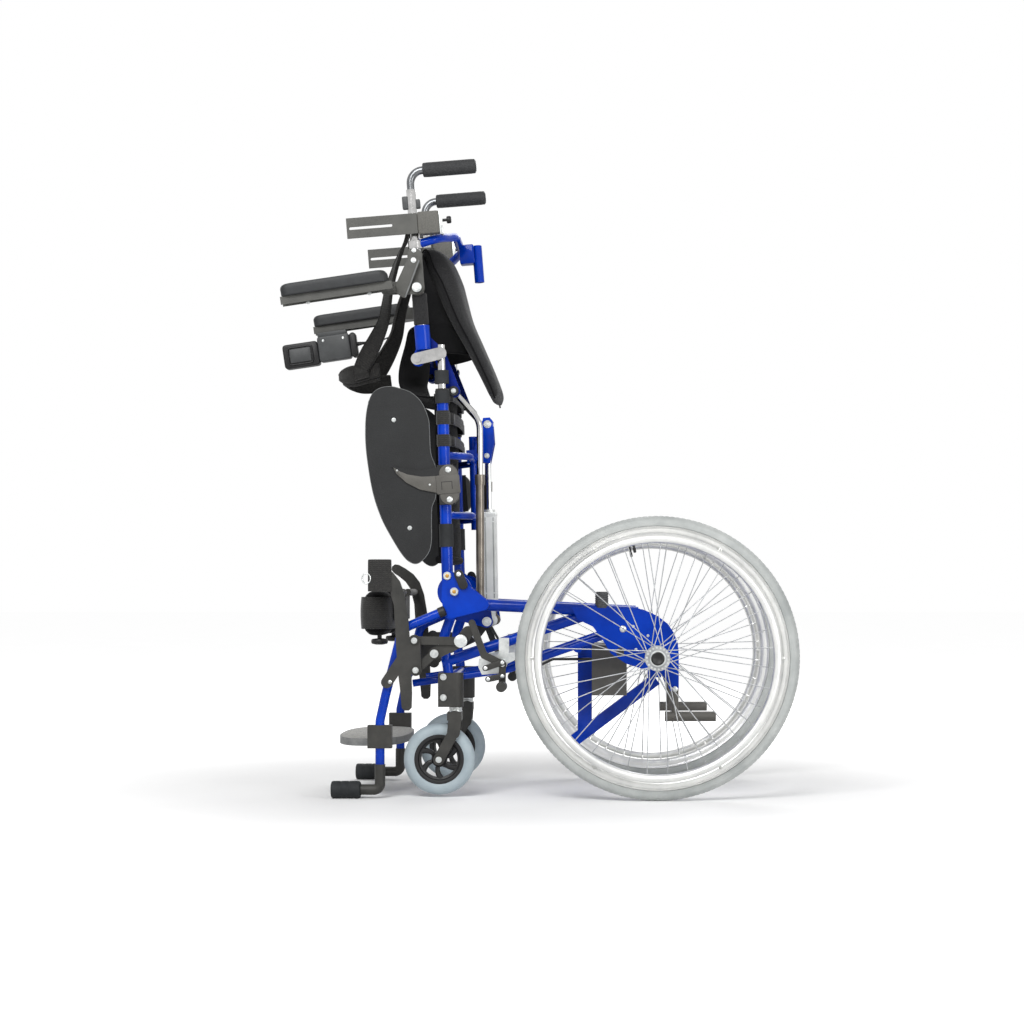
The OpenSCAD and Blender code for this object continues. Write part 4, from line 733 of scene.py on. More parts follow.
# Turned pieces: name, finish, body, frame, maker, count round, axis, places,
# then the radius and height of each point of the profile
TURNED = (
    ("{}_hub_cap", PLASTIC, "{}_wheel", on_chassis, lathe, 40, OUT, [HUB_END],
     [(0.4, 4.2), (0.4, 6), (8, 6.4), (9.6, 7.6), (12, 7.8), (13.8, 6.6), (14.6, 4), (14.6, 0), (6.6, 0),
      (6.6, 4.2)]),
    ("{}_hub_ring", STEEL, "{}_wheel", on_chassis, hoop, 48, OUT, [HUB_END],
     [(14.7, 0), (17, 0), (17.4, 1.6), (16.4, 3.6), (14.7, 3.8)]),
    ("{}_stem_ring", STEEL, "{}_fork", on_chassis, hoop, 40, UP, [(-149, 206, 186.2)],
     [(13.1, 0), (14.6, 0.6), (14.6, 3.4), (13.6, 4.2), (13.6, 6.2), (14.2, 7), (14.2, 9.4), (13.1, 10)]),
    ("grip_end_rings", GREY_PLASTIC, "back", on_back, hoop, 40, REAR, [(159, 192, 413.1)],
     [(7.5, 0), (11.6, 0), (11.8, 0.5), (11, 1.1), (8, 1.1)]),
    ("chest_knobs", PLASTIC, "back", on_back, lathe, 24, REAR, [(79, 207, 298)],
     [(0.3, 0), (3.2, 0), (3.2, 8), (7, 8.6), (8, 10.4), (8, 16), (6.6, 18.4), (0.3, 19)]),
    ("crossbar_rings", CHROME, "back", on_back, hoop, 40, UP, [(*POST, 0)],
     [(11.1, 242), (14.8, 242), (15.5, 242.8), (15.5, 259.2), (14.8, 260), (11.1, 260)]),
    ("post_sleeves", SPACER, "back", on_back, hoop, 32, UP, [(*POST, 0)],
     [(11.2, 76), (15.6, 76), (16.6, 79), (16.2, 92), (16.8, 110), (16.1, 128), (16.6, 141),
      (15.4, 144), (11.2, 144)]),
    ("{}_pad_knob", PLASTIC, "leg_rest", on_chassis, lathe, 10, UP, [(-319.5, 158, 0)],
     [(0.3, 353), (5, 353), (5, 345), (9, 344.6), (17, 343.5), (18.6, 341), (18.6, 336),
      (17, 333), (8, 331), (0.3, 331)]),
    ("brass_rivets", BRASS, "chassis", on_chassis, lathe, 18, OUT, KNEE_BUTTONS,
     [(0.3, 3.3), (4.4, 3.3), (4, 4.6), (1, 5), (0.1, 5)]),
    ("ribbed_bumpers", BUMPER, "chassis", on_chassis, lathe, 36, UP, [(169.5, 200, 0)],
     [(0.3, 408), (14.3, 408), (14.3, 419), *BUMPER_RIBS, (13.4, 445.4), (11.6, 447.2), (0.3, 447.2)]),
    ("leg_tube_caps", PLASTIC, "leg_rest", on_chassis, lathe, 28, (8, 0, 3.4), [(-172, 236, 405.7)],
     [(0.3, 3.4), (8.6, 3.2), (11.2, 1.6), (11.4, 0), (11.4, -12), (10.05, -12), (10.05, -0.1), (0.3, -0.1)]),
    ("rubber_feet", RUBBER, "leg_rest", on_chassis, lathe, 40, REAR, [(-352.1, 236, 19)],
     [(FOOT_SHRINK * r, h) for r, h in FOOT]),
    ("rod_knobs", PLASTIC, "back", on_back, lathe, 14, OUT, [ROD_END],
     [(0.3, 0), (11.4, 0), (11.4, 7.4), (10.2, ROD_KNOB_RISE), (0.3, ROD_KNOB_RISE)]),
)

# Flat pieces: name, finish, body, frame, then each shape's maker, outline, Y faces and radii
FLAT = (
    ("handle_clamps", GREY_PLASTIC, "back", on_back,
     [(box, (-7, 5.5, 330, 358), (186, 198), 3, 1.2), (box, (22.5, 32, 330, 350), (186, 198), 3, 1.2)]),
    ("chest_covers", CHEST_COAT, "back", on_back, [(box, (24.8, 71, 269.6, 318.2), (196, 221.2), 5, 1.6)]),
    ("chest_end_plates", STEEL, "back", on_back, [(box, (71.4, 79, 266, 320), (196, 221.2), 3, 1.4)]),
    ("arm_plate_tops", BRACKET, "back", on_back, [(strip, ((12.1, 217), (12.1, 225.4), 16), (206.4, 211.6))]),
    ("{}_arm_plate", BRACKET, "{}_arm", on_back, [(plate, rounded(ARM_PLATE, 6), (223.2, 227.2), 0.9)]),
    ("guard_arms", WARM_GREY, "seat", on_seat,
     [(plate, rounded(GUARD_ARM, 3), (230.2, 234.5)),
      (strip, ((7.5, 256), (6.5, 209), 20), (212.9, 234.9), 1.2),
      (box, (-20, 30, 212.5, 253.5), (213.5, 236.4), 4, 1.2)]),
    ("guard_hinge_lines", PLASTIC, "seat", on_seat,
     [(box, line, (235.6, 236.5), 0.4, 0.2) for line in HINGE_LINES]),
    ("stop_lugs", PLASTIC, "chassis", on_chassis,
     [(strip, ((-141, 485.4), (-131, 462), 10), (223, 229), 1.4)]),
    ("{}_brake_links", BLACK_COAT, "{}_brake", on_chassis,
     [(strip, (*ends, 6.4), TOGGLE_Y) for ends in TOGGLES]),
)


def knee_button(at, r, out):
    """A stepped button with a sloping edge."""
    return [lathe([(0.3, 0), (r, 0), (r, 2.2), (r - 1.4, 3.4), (0.3, 3.4)], at, out, 28)]


def thin_disc(at, r, out):
    """A thin washer over a link's end."""
    return [lathe([(0.3, 0), (r, 0), (r + 0.3, 0.3), (r - 0.3, 0.55), (0.3, 0.6)], at, out, 36)]


# Bolts and rivets: name, body, frame, then each kind's maker, radius and places
BOLTS = (
    ("back_bolts", "back", on_back,
     [(hex_bolt, 8.6, (12.1, 222.2, 154.6)), (hex_bolt, 4.2, (11.6, 211.6, 236.8))]),
    ("{}_plate_bolt", "{}_arm", on_back, [(hex_bolt, 4.8, (10.1, 227.2, 213))]),
    ("guard_rivets", "seat", on_seat,
     [(rivet, 5.2, (-101.1, 230, 381.4), (-85.1, 230, 145.4)),
      (rivet, 2.4, (-102.3, 234.5, 271.5), (-34, 234.5, 235.2))]),
    ("guard_bolts", "seat", on_seat, [(dome_bolt, 7.2, (8, 234.8, 264.7), (6.5, 234.8, 200))]),
    ("chassis_bolts", "chassis", on_chassis,
     [(knee_button, 9, *KNEE_BUTTONS), (thin_disc, 12.6, (-134.8, 256, 340.9)),
      (hex_bolt, 5.8, (-192.1, 253, 313.6)), (hex_bolt, 6, (-174.4, 223.6, 262.3), (-174.4, 223.6, 217.6)),
      (dome_bolt, 8, (215.8, 222, 366.5)), (dome_bolt, 6.4, (328.7, 222, 236.2)),
      (rivet, 3.4, (238, 222, 372), (270, 222, 352), (244, 222, 322), (262, 222, 268)),
      (dome_bolt, 5.6, (-141, 229, 485.4)), (hex_bolt, 8.5, (-82, 184.1, 382))]),
    ("leg_bolts", "leg_rest", on_chassis,
     [(hex_bolt, 5.6, (-234.7, 259, 342.2), (-231.8, 259, 278.2)), (dome_bolt, 4.6, (-287, 255, 253)),
      (rivet, 2.8, (-323, 255, 502))]),
    ("{}_brake_pins", "{}_brake", on_chassis,
     [(dome_bolt, 4.6, *((x, TOGGLE_Y[1], z) for ends in TOGGLES for x, z in ends))]),
    ("ear_bolts", "seat", on_seat, [(hex_bolt, 7.4, (90.8, 23.3, 373)), (hex_bolt, 5, (84, 23.3, 302))]),
    ("rod_nuts", "back", on_back, [(hex_bolt, 4.6, (ROD_END[0], ROD_END[1] + ROD_KNOB_RISE, ROD_END[2]))]),
)


def pair(name, material, body, place_on, make):
    """What make gives for each side: two pieces where the name has room for the side, or else one."""
    if "{}" not in name:
        return piece(name, [shell for _, s in SIDES for shell in make(s)], material, body, place_on)
    return [piece(name.format(side), make(s), material, body.format(side), place_on) for side, s in SIDES]


def trim():
    """The pieces of the three tables; two of them stand for CAD nodes."""
    for name, material, body, place_on, maker, around, axis, places, profile in TURNED:
        pair(name, material, body, place_on, lambda s: [
            maker(profile, on_side(s, at), on_side(s, axis), around) for at in places])
    for name, material, body, place_on, shapes in FLAT:
        pair(name, material, body, place_on, lambda s: [
            maker(outline, *faces_of(s, *y), *radii) for maker, outline, y, *radii in shapes])
    for name, body, place_on, kinds in BOLTS:
        pair(name, STEEL, body, place_on, lambda s: [
            shell for maker, r, *places in kinds for at in places
            for shell in maker(on_side(s, at), r, (0, s, 0))])
    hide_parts("seat_bumpers")
    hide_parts("foot_tips")


# Hand control's lead

CONTROL_Y = (233, 267)
LEAD_EXIT = (99, 250, -47)
LEAD_WAY = (1, 0, 0.02)
BOOT = [(2.4, 0), (5, 0), (5, 3), (4.4, 5), (4.6, 8), (3.6, 10), (3.8, 13), (3, 15), (2.9, 20), (2.4, 20)]


def lead_boot():
    """A stepped, tapering boot round the lead where it leaves the hand control."""
    boot = hoop(BOOT, LEAD_EXIT, LEAD_WAY, 20)
    piece("control_lead_boot", [boot], PLASTIC, "right_arm", on_arm)


# Rear wheels

TYRE_CORE = 288
TYRE_R = 17
RIM_SEAT = 283.1
RIM_OUTER = 283
RIM_BORE = 260
RIM_HALF = [(RIM_OUTER, 11.4), (279.5, 12), (277, 11), (270, 10.6), (263.5, 7.5), (RIM_BORE, 2.5)]
TREAD_EDGE = 1.15
TREAD_FADE = 0.3
TREAD_DEPTH = 0.7
TREAD_GROOVES = 9
TREAD_CUTS = 160
TREAD_SLANT = 7
SPOKE_PAIRS = 18
SPOKE_LEAD = math.radians(40)
SPOKE_ROOT = 23
SPOKE_HEAD_R = 2.2
SPOKE_HEAD_OUT = 1.4
NIPPLE_SHIFT = 1.1
FLANGE_Y = 24
VALVE_ANGLE = 1.78
NIPPLE = [(0.3, 1), (2.6, 1), (2.6, -1), (1.9, -2), (1.7, -9), (1.4, -10), (0.3, -10)]
VALVE = [(0.3, 0), (3.4, 0), (3.4, -3), (2.6, -4), (2.6, -18), (3.3, -19), (3.3, -27), (2.4, -29), (0.3, -29)]


def wheel_middle(side):
    """The middle of a rear wheel."""
    return np.array([AXLE[0], side * HALF_TRACK, AXLE[1]])


def tyre_skin(side):
    """A round tyre section swept round the wheel, with three grooves and slanted cuts let into its crown.

    r = core + (s - g) cos f and y = (s - g) sin f, where g deepens with cos of the groove and cut counts.
    """
    t = round_turn(960)[:, None]
    f = round_turn(40)[None, :]
    bent = np.where(f > math.pi, f - TAU, f)
    crown = np.clip((TREAD_EDGE - np.abs(bent)) / TREAD_FADE, 0, 1)
    grooves = np.clip(np.cos(TREAD_GROOVES * bent) * 1.6 - 0.5, 0, 1)
    cuts = np.clip(np.cos(TREAD_CUTS * t + TREAD_SLANT * np.abs(bent)) * 1.4 - 0.3, 0, 1)
    s = TYRE_R - crown * (TREAD_DEPTH * grooves + TREAD_DEPTH * cuts)
    r = np.maximum(TYRE_CORE + s * np.cos(bent), RIM_SEAT)
    y = s * np.sin(bent) + side * HALF_TRACK
    return skin(xyz(AXLE[0] + r * np.cos(t), y, AXLE[1] + r * np.sin(t)), loop=True)


def spokes():
    """Each spoke: the side of the hub that it leaves, its angle there and the way it leans."""
    for i in range(SPOKE_PAIRS):
        for s in (-1, 1):
            yield s, TAU / SPOKE_PAIRS * (i + s / 4), 1 if i % 2 == 0 else -1


def rim_shells(side):
    """A hollow-looking rim: a rounded section turned round the axle, with a nipple at each spoke."""
    inner = [(r, -h) for r, h in RIM_HALF[:0:-1]]
    section = curve([(RIM_OUTER, -RIM_HALF[0][1])] + RIM_HALF + inner, 48, closed=True)
    section[:, 0] = np.clip(section[:, 0], RIM_BORE, RIM_OUTER)
    at = wheel_middle(side)
    shells = [hoop(section, at, (0, side, 0), 240)]
    for s, root, lean in spokes():
        tip = root + SPOKE_LEAD * lean
        out = np.array([math.cos(tip), 0, -math.sin(tip)])
        shells.append(lathe(NIPPLE, at + out * RIM_BORE + (0, side * s * NIPPLE_SHIFT, 0), out, 8))
    return shells


def valve_shells(side):
    """A valve stem with its cap, pointing from the rim to the axle."""
    out = np.array([math.cos(VALVE_ANGLE), 0, math.sin(VALVE_ANGLE)])
    return [lathe(VALVE, wheel_middle(side) + out * RIM_BORE, out, 14)]


def spoke_heads(side):
    """Round spoke heads in a ring on each hub flange."""
    shells = []
    for s, root, _ in spokes():
        y = side * (HALF_TRACK + s * (FLANGE_Y + SPOKE_HEAD_OUT))
        at = (AXLE[0] + SPOKE_ROOT * math.cos(root), y, AXLE[1] - SPOKE_ROOT * math.sin(root))
        shells += rivet(at, SPOKE_HEAD_R, (0, side * s, 0))
    return shells


def rear_wheels():
    """Tyres, rims, spoke heads and valves of both rear wheels."""
    for name, side in SIDES:
        body = f"{name}_wheel"
        tyre = piece(f"{name}_tread_tyre", [tyre_skin(side)], TYRE, body)
        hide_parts(f"{name}_tyre")
        rim = piece(f"{name}_box_rim", rim_shells(side), ALLOY, body)
        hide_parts(f"{name}_rim")
        piece(f"{name}_spoke_heads", spoke_heads(side), STEEL, body)
        piece(f"{name}_valve", valve_shells(side), PLASTIC, body)


# Casters

HUB_R = 54
HUB_INNER_R = 39
HUB_SECTION = [(HUB_R, -12.5), (HUB_R, 12.5), (50, 13), (46, 12), (44, 8), (40, 6.5), (HUB_INNER_R, 0),
               (40, -6.5), (44, -8), (46, -12), (50, -13)]
BOSS_SECTION = [(5.1, -13), (5.1, 13), (13, 13), (15, 11), (17, 6), (17.5, 0), (17, -6), (15, -11), (13, -13)]
CASTER_SPOKES = 6
CASTER_SPOKE_TURN = 0.3
CASTER_SPOKE_BEND = ((15, 0), (24, 0.05), (33, 0.16), (42, 0.3))
FORK_FACE = 23.6
FORK_BOLT_R = 5.6


def caster_hub_shells(side):
    """A moulded hub: a stepped outer ring, a boss, and bent spokes that leave openings between them."""
    x, y, z = CASTER
    at = np.array([x, side * y, z])
    shells = [hoop(HUB_SECTION, at, (0, side, 0), 72), hoop(BOSS_SECTION, at, (0, side, 0), 40)]
    for i in range(CASTER_SPOKES):
        a = TAU * i / CASTER_SPOKES + CASTER_SPOKE_TURN
        line = [(x + r * math.cos(a + t), side * y, z + r * math.sin(a + t)) for r, t in CASTER_SPOKE_BEND]
        shells.append(sweep(curve(line, 8), np.linspace(5, 8, 8), np.linspace(4.6, 7, 8), (0, 1, 0), 12, 0.7))
    return shells


def casters():
    """Hubs and axle bolts of both casters."""
    x, y, z = CASTER
    for name, side in SIDES:
        hub = piece(f"{name}_spoked_hub", caster_hub_shells(side), PLASTIC, f"{name}_caster")
        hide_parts(f"{name}_caster_hub")
        bolts = []
        for face in (-1, 1):
            bolts += hex_bolt((x, side * (y + face * FORK_FACE), z), FORK_BOLT_R, (0, side * face, 0))
        piece(f"{name}_caster_bolts", bolts, STEEL, f"{name}_fork")


# Push handles and cross bar

GRIP_START = (43, 192, 413.1)
GRIP_LENGTH = 116
GRIP_R = 15.6
GRIP_EASE = 3.5
GRIP_PLAIN = 6
PEBBLE_RISE = 0.4
PEBBLE_PITCH = 3.4
PEBBLE_TURNS = 14
PEBBLE_FADE = 4


def grip_skin(side):
    """A straight grip along +X: a round section with a pebbled skin and blunt ends with eased edges."""
    x = np.linspace(0, 1, 150)[:, None] * GRIP_LENGTH
    t = round_turn(96)[None, :]
    near_end = np.clip(np.maximum(GRIP_EASE - x, x - GRIP_LENGTH + GRIP_EASE) / GRIP_EASE, 0, 1)
    ease = GRIP_EASE * (1 - np.sqrt(1 - near_end**2))
    wave = TAU * x / PEBBLE_PITCH
    pebble = PEBBLE_RISE * np.maximum(np.cos(wave + PEBBLE_TURNS * t), np.cos(wave - PEBBLE_TURNS * t))
    pebble = pebble * np.clip((x - GRIP_PLAIN) / PEBBLE_FADE, 0, 1)
    pebble = pebble * np.clip((GRIP_LENGTH - GRIP_PLAIN - x) / PEBBLE_FADE, 0, 1)
    r = GRIP_R + pebble - ease
    y, z = side * GRIP_START[1] + r * np.cos(t), GRIP_START[2] + r * np.sin(t)
    return skin(xyz(GRIP_START[0] + x, y, z))


def grips():
    """Both grips as one piece."""
    made = piece("pebbled_grips", [grip_skin(s) for _, s in SIDES], GRIP, "back", on_back)
    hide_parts("handle_grips")


BAR_HALF = [(14, 192, 251), (40, 192, 257), (56, 189, 260.8), (70, 174, 265), (84, 142, 269.8),
            (95, 117, 273.6), (99, 96, 275), (99, 60, 275), (99, 0, 275)]
BAR_R = 9.5
REST_BLOCK = (99, 132, 229, 272)
REST_HALF = 19
REST_SOCKET_X = 139
REST_SOCKET = [(6.5, 186), (10.4, 186), (11, 186.6), (11, 269.4), (10.4, 270), (6.5, 270)]


def crossbar():
    """The bent bar behind the posts, and the block and socket for a head rest."""
    line = BAR_HALF + [(x, -y, z) for x, y, z in BAR_HALF[-2::-1]]
    shells = [tube(curve(line, 120), BAR_R, (0, 0, 1), 24), box(REST_BLOCK, -REST_HALF, REST_HALF, 4, 1.4),
              hoop(REST_SOCKET, (REST_SOCKET_X, 0, 0), (0, 0, 1), 36)]
    bar = piece("bent_crossbar", shells, BLUE, "back", on_back)
    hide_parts("back_crossbar")


# Arm rests and hand control

FOLD_Y = 227.3
FOLD_LINE = ((22, 212), (4, 173), (-14, 134))
SCREW_X = (56.6, 189.8)
ARM_Y = 267
SCREW_HEAD_Z = -8.6
SCREW_FOOT_Z = -8.7
SCREW_R = 4.2
SHANK = [(0.3, 0), (2.4, 0), (2.4, 14.1), (0.3, 14.1)]


def arm_metal():
    """The folded edges of the stop plates at the arm pivots, and the screws under each rail."""
    for name, s in SIDES:
        body = f"{name}_arm"
        lip = curve([(x, s * FOLD_Y, z) for x, z in FOLD_LINE], 14)
        piece(f"{name}_plate_fold", [sweep(lip, 1.7, 1.1, (1, 0, 0), 10)], TRIM, body, on_back)
        screws = []
        for x in SCREW_X:
            screws += hex_bolt((x, s * ARM_Y, SCREW_HEAD_Z), SCREW_R, (0, 0, -1))
            screws.append(lathe(SHANK, (x, s * ARM_Y, SCREW_FOOT_Z), (0, 0, 1), 16))
        piece(f"{name}_rail_screws", screws, STEEL, body, on_arm)


CONTROL_X = (-79, 6)
CONTROL_Z = (-84, -26)
CONTROL_CAP = (82, 99, -77, -20)
CAP_RIB = (86, 95, -78.5, -18.5)
CLAMP_SLEEVE = (5.5, 82.5, -79, -18)
CLAMP_NECK = (8, 78, -20, -8.7)
ROCKER_X = (-64, -12)
ROCKER_Z = (-73, -38)
ROCKER_RIM = 3
ROCKER_EASE = 1.5
ROCKER_CROWN = 1.4
ROCKER_DIP = 0.6
ROCKER_FRONT = 0.4
ROCKER_REAR = 6.5
ROCKER_PIN = (236.5, -55.5)
CONTROL_SCREWS = ((20, -29), (68, -29))
CONTROL_SCREW_R = 3.4


def rim_line(y):
    """The rounded line round the rocker's opening, at a depth."""
    x0, x1 = ROCKER_X[0] - ROCKER_RIM, ROCKER_X[1] + ROCKER_RIM
    z0, z1 = ROCKER_Z[0] - ROCKER_RIM, ROCKER_Z[1] + ROCKER_RIM
    rim = rounded([(x0, z0), (x1, z0), (x1, z1), (x0, z1)], 8, 7)
    return xyz(rim[:, 0], y, rim[:, 1])


def border(grid):
    """The points round the edge of a grid, in order."""
    return np.concatenate([grid[:, 0], grid[-1, 1:], grid[-2::-1, -1], grid[0, -2:0:-1]])


def rocker_paddle(y0):
    """The rocker: a face crowned along and across with a dip at its middle, a back, a wall and its pin."""
    along = np.linspace(0, 1, 25)[:, None]
    over = np.linspace(0, 1, 17)[None, :]
    crown = ROCKER_CROWN * (1 - (2 * along - 1) ** 4) * (1 - (2 * over - 1) ** 2)
    crown = crown - ROCKER_DIP * np.exp(-((along - 0.5) * 9) ** 2)
    x = ROCKER_X[0] + ROCKER_EASE + along * (ROCKER_X[1] - ROCKER_X[0] - 2 * ROCKER_EASE)
    z = ROCKER_Z[0] + ROCKER_EASE + over * (ROCKER_Z[1] - ROCKER_Z[0] - 2 * ROCKER_EASE)
    front = xyz(x, y0 - ROCKER_FRONT - crown, z)
    rear = xyz(x, y0 + ROCKER_REAR, z)
    wall = skin(np.stack([border(front), border(rear)]), close_ends=False)
    ends = [(ROCKER_X[0] - ROCKER_RIM, *ROCKER_PIN), (ROCKER_X[1] + ROCKER_RIM, *ROCKER_PIN)]
    pin = tube(curve(ends, 4), 2, (0, 1, 0))
    paddle = mesh_of("rocker_paddle", [sheet_grid(front), sheet_grid(rear), wall, pin], on_arm)
    weld(paddle)
    dress(paddle, GREY_PLASTIC, "rocker")
    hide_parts("rocker")


def hand_control():
    """Rounded housing with a rim round its rocker, a ribbed rear cap, and a clamp sleeve up to the rail."""
    y0, y1 = CONTROL_Y
    housing = [box((*CONTROL_X, *CONTROL_Z), y0 + 2, y1, 9, 3.2),
               sweep(rim_line(y0 + 2.2), 2.6, 2.6, (0, 1, 0), 12, loop=True),
               box(CONTROL_CAP, y0 + 5, y1 - 5, 7, 3), box(CAP_RIB, y0 + 8, y1 - 8, 3, 2)]
    dark = piece("control_housing", housing, PLASTIC, "right_arm", on_arm)
    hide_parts("control_box")
    sleeve = [box(CLAMP_SLEEVE, y0 + 3, y1 - 3, 8, 3), box(CLAMP_NECK, y0 + 6, y1 - 6, 3, 1.5)]
    piece("control_clamp", sleeve, GREY_PLASTIC, "right_arm", on_arm)
    screws = []
    for x, z in CONTROL_SCREWS:
        screws += dome_bolt((x, y0 + 3, z), CONTROL_SCREW_R, (0, -1, 0))
    piece("control_screws", screws, STEEL, "right_arm", on_arm)
    rocker_paddle(y0)


def weld(obj):
    """Closes the seams of a mesh built from several grids and turns its faces outwards."""
    work = bmesh.new()
    work.from_mesh(obj.data)
    bmesh.ops.remove_doubles(work, verts=work.verts, dist=1e-6)
    bmesh.ops.recalc_face_normals(work, faces=work.faces)
    work.to_mesh(obj.data)
    work.free()
    obj.data.set_sharp_from_angle(angle=SHARP)


# Soft goods of the back

def points_of(mesh):
    """A mesh's points as an array."""
    flat = np.empty(3 * len(mesh.vertices), np.float32)
    mesh.vertices.foreach_get("co", flat)
    return flat.reshape(-1, 3).astype(float)


def bake_modifiers(obj):
    """Replaces a piece's mesh by what its modifiers make of it."""
    shown = obj.evaluated_get(bpy.context.evaluated_depsgraph_get())
    made = bpy.data.meshes.new_from_object(shown)
    obj.modifiers.clear()
    obj.data = made


def add_wall(obj, thickness, offset=0):
    """Gives a sheet its thickness."""
    wall = obj.modifiers.new("wall", "SOLIDIFY")
    wall.thickness = thickness * MM
    wall.offset = offset


def inflate(obj, voxel, cap, pressure=4.0, frames=20):
    """Swells a closed form as stuffed cloth: remesh, cloth under pressure, moves capped, subdivision."""
    remesh = obj.modifiers.new("remesh", "REMESH")
    remesh.mode = "VOXEL"
    remesh.voxel_size = voxel * MM
    bake_modifiers(obj)
    scene = bpy.context.scene
    start = points_of(obj.data)
    cloth = obj.modifiers.new("cloth", "CLOTH")
    cloth.settings.use_pressure = True
    cloth.settings.uniform_pressure_force = pressure
    cloth.settings.effector_weights.gravity = 0
    cloth.point_cache.frame_start = 1
    cloth.point_cache.frame_end = frames
    for number in range(1, frames + 1):
        scene.frame_set(number)
    shaped = obj.evaluated_get(bpy.context.evaluated_depsgraph_get()).to_mesh()
    move = points_of(shaped) - start
    obj.modifiers.remove(cloth)
    scene.frame_set(1)
    far = np.linalg.norm(move, axis=1, keepdims=True)
    move *= np.minimum(1, cap * MM / np.maximum(far, 1e-9))
    obj.data.vertices.foreach_set("co", (start + move).astype(np.float32).ravel())
    obj.data.update()
    finer = obj.modifiers.new("finer", "SUBSURF")
    finer.levels = 1
    finer.render_levels = 1
    obj.data.shade_smooth()


FLAP_PATH = [(22, 236.4), (25, 246), (33, 249), (40, 236), (46, 212), (61, 178), (70, 151), (89, 92),
             (114, 34), (138, -27), (154, -72), (158, -90)]
FLAP_HALF = [124, 128, 130, 132, 134, 138, 140, 140, 140, 139, 136, 128]
FLAP_T = [8, 8, 7, 30, 42, 40, 36, 28, 23, 20, 17, 13]
FLAP_FRONT = 0.55
FLAP_SWELL = 3
FLAP_LEAST = 7
PIPING_R = 1.9
PIPING_OUT = 0.8


def back_flap():
    """The padded cover hung behind the sling: a section round at its back, swollen as stuffed cloth."""
    line = curve(np.array([(x, 0, z) for x, z in FLAP_PATH]), 46)
    width = eased(FLAP_HALF, 46) - FLAP_SWELL
    thick = np.maximum(eased(FLAP_T, 46) - FLAP_SWELL, FLAP_LEAST)
    flap = mesh_of("back_flap", [sweep(line, width, thick, (0, 1, 0), 48, 0.6, under=FLAP_FRONT)], on_back)
    inflate(flap, 4.5, 4)
    dress(flap, SPACER, "back")
    piping = []
    for s in (-1, 1):
        edge = line[3:].copy()
        edge[:, 1] = s * (width[3:] + PIPING_OUT)
        piping.append(tube(edge, PIPING_R, (0, 1, 0), 10))
    piece("flap_piping", piping, CLOTH, "back", on_back)


SLING_DROP = (18, 236)
SLING_FRONT = 8
SLING_HALF = 172.5
SLEEVE_STEP = 7.9
SLEEVE_FOOT = 76
STEP_RUN = 6
SAG_AT = ((18, 40, 75, 92, 120, 151, 178, 212, 236), (108, 102, 88, 82, 73, 63, 54, 36, 20))


def back_sling():
    """A slack back sheet that sags between the posts, more towards its foot.

    x = front + sag (1 - (y / half)^2) + small folds, and half widens by a step where the sleeves start.
    """
    z = np.linspace(*SLING_DROP, 45)[:, None]
    half = SLING_HALF + SLEEVE_STEP * np.clip((z - SLEEVE_FOOT) / STEP_RUN, 0, 1)
    y = np.linspace(-1, 1, 41)[None, :] * half
    deep = np.interp(z, *SAG_AT)
    sag = deep * (1 - (y / (half + 0.8)) ** 2)
    folds = 0.9 * np.sin(z / 13 + y / 31) * np.clip((half - np.abs(y)) / 40, 0, 1)
    points = xyz(SLING_FRONT + sag + folds, y, z)
    sling = mesh_of("back_sling", [sheet_grid(points)], on_back)
    add_wall(sling, 3.6)
    dress(sling, CLOTH, "back")
    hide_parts("back_panel")


WAIST_PATH = [(4, 78), (-16, 68), (-30, 30), (-44, -20), (-48, -44), (-34, -66), (0, -78), (26, -80)]
WAIST_HALF = 166
WAIST_TUCK = 50
WAIST_FOLD = 1.6
WAIST_BLEND = ((0, 0, -60), (0, 0, 40))


def waist_sheet():
    """Loose cloth from the foot of the back sling to the top of the seat."""
    line = curve(np.array(WAIST_PATH, float), 44)
    y = np.linspace(-WAIST_HALF, WAIST_HALF, 41)[None, :]
    along = np.linspace(0, 1, 44)[:, None]
    folds = WAIST_FOLD * np.sin(along * 21 + y / 47) * np.sin(math.pi * along)
    tuck = WAIST_TUCK * (1 - (y / WAIST_HALF) ** 2) * np.sin(math.pi * along)
    points = xyz(line[:, :1] + folds + tuck, y, line[:, 1:])
    cloth = mesh_of("waist_cloth", [sheet_grid(points)], on_back)
    add_wall(cloth, 3)
    bake_modifiers(cloth)
    cloth.data.materials.clear()
    cloth.data.materials.append(CLOTH)
    low, high = on_back(np.array(WAIST_BLEND)) * MM
    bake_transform(cloth)


STRAP_PATH = [(-0.4, 182, 279), (-7, 179, 262), (-16, 173, 247), (-34, 160, 215), (-54, 152, 165),
              (-63, 148, 132), (-72, 144, 98), (-91, 140, 62), (-114, 134, 26),
              (-132.4, 125.4, -4), (-132.4, 125.4, -24)]
STRAP_TURN = [0, 4, 10, 18, 28, 34, 40, 52, 62, 59, 59]
STRAP_HALF = [15, 16, 17, 18, 18, 18, 19, 21, 22, 20, 20]
STRAP_THICK = 3.2
HEM_IN = 1.6
BELT_START = -92
BELT_PATH = [(BELT_START, 132, -8), (-128, 118, -10), (-158, 92, -10), (-180, 56, -8), (-190, 20, -6),
             (-190, -20, -6), (-180, -56, -8), (-158, -92, -10), (-128, -118, -10), (BELT_START, -132, -8)]
BELT_HALF = [15, 18, 20, 15, 9, 9, 15, 20, 18, 15]
UNDER_BELT_DROP = 12


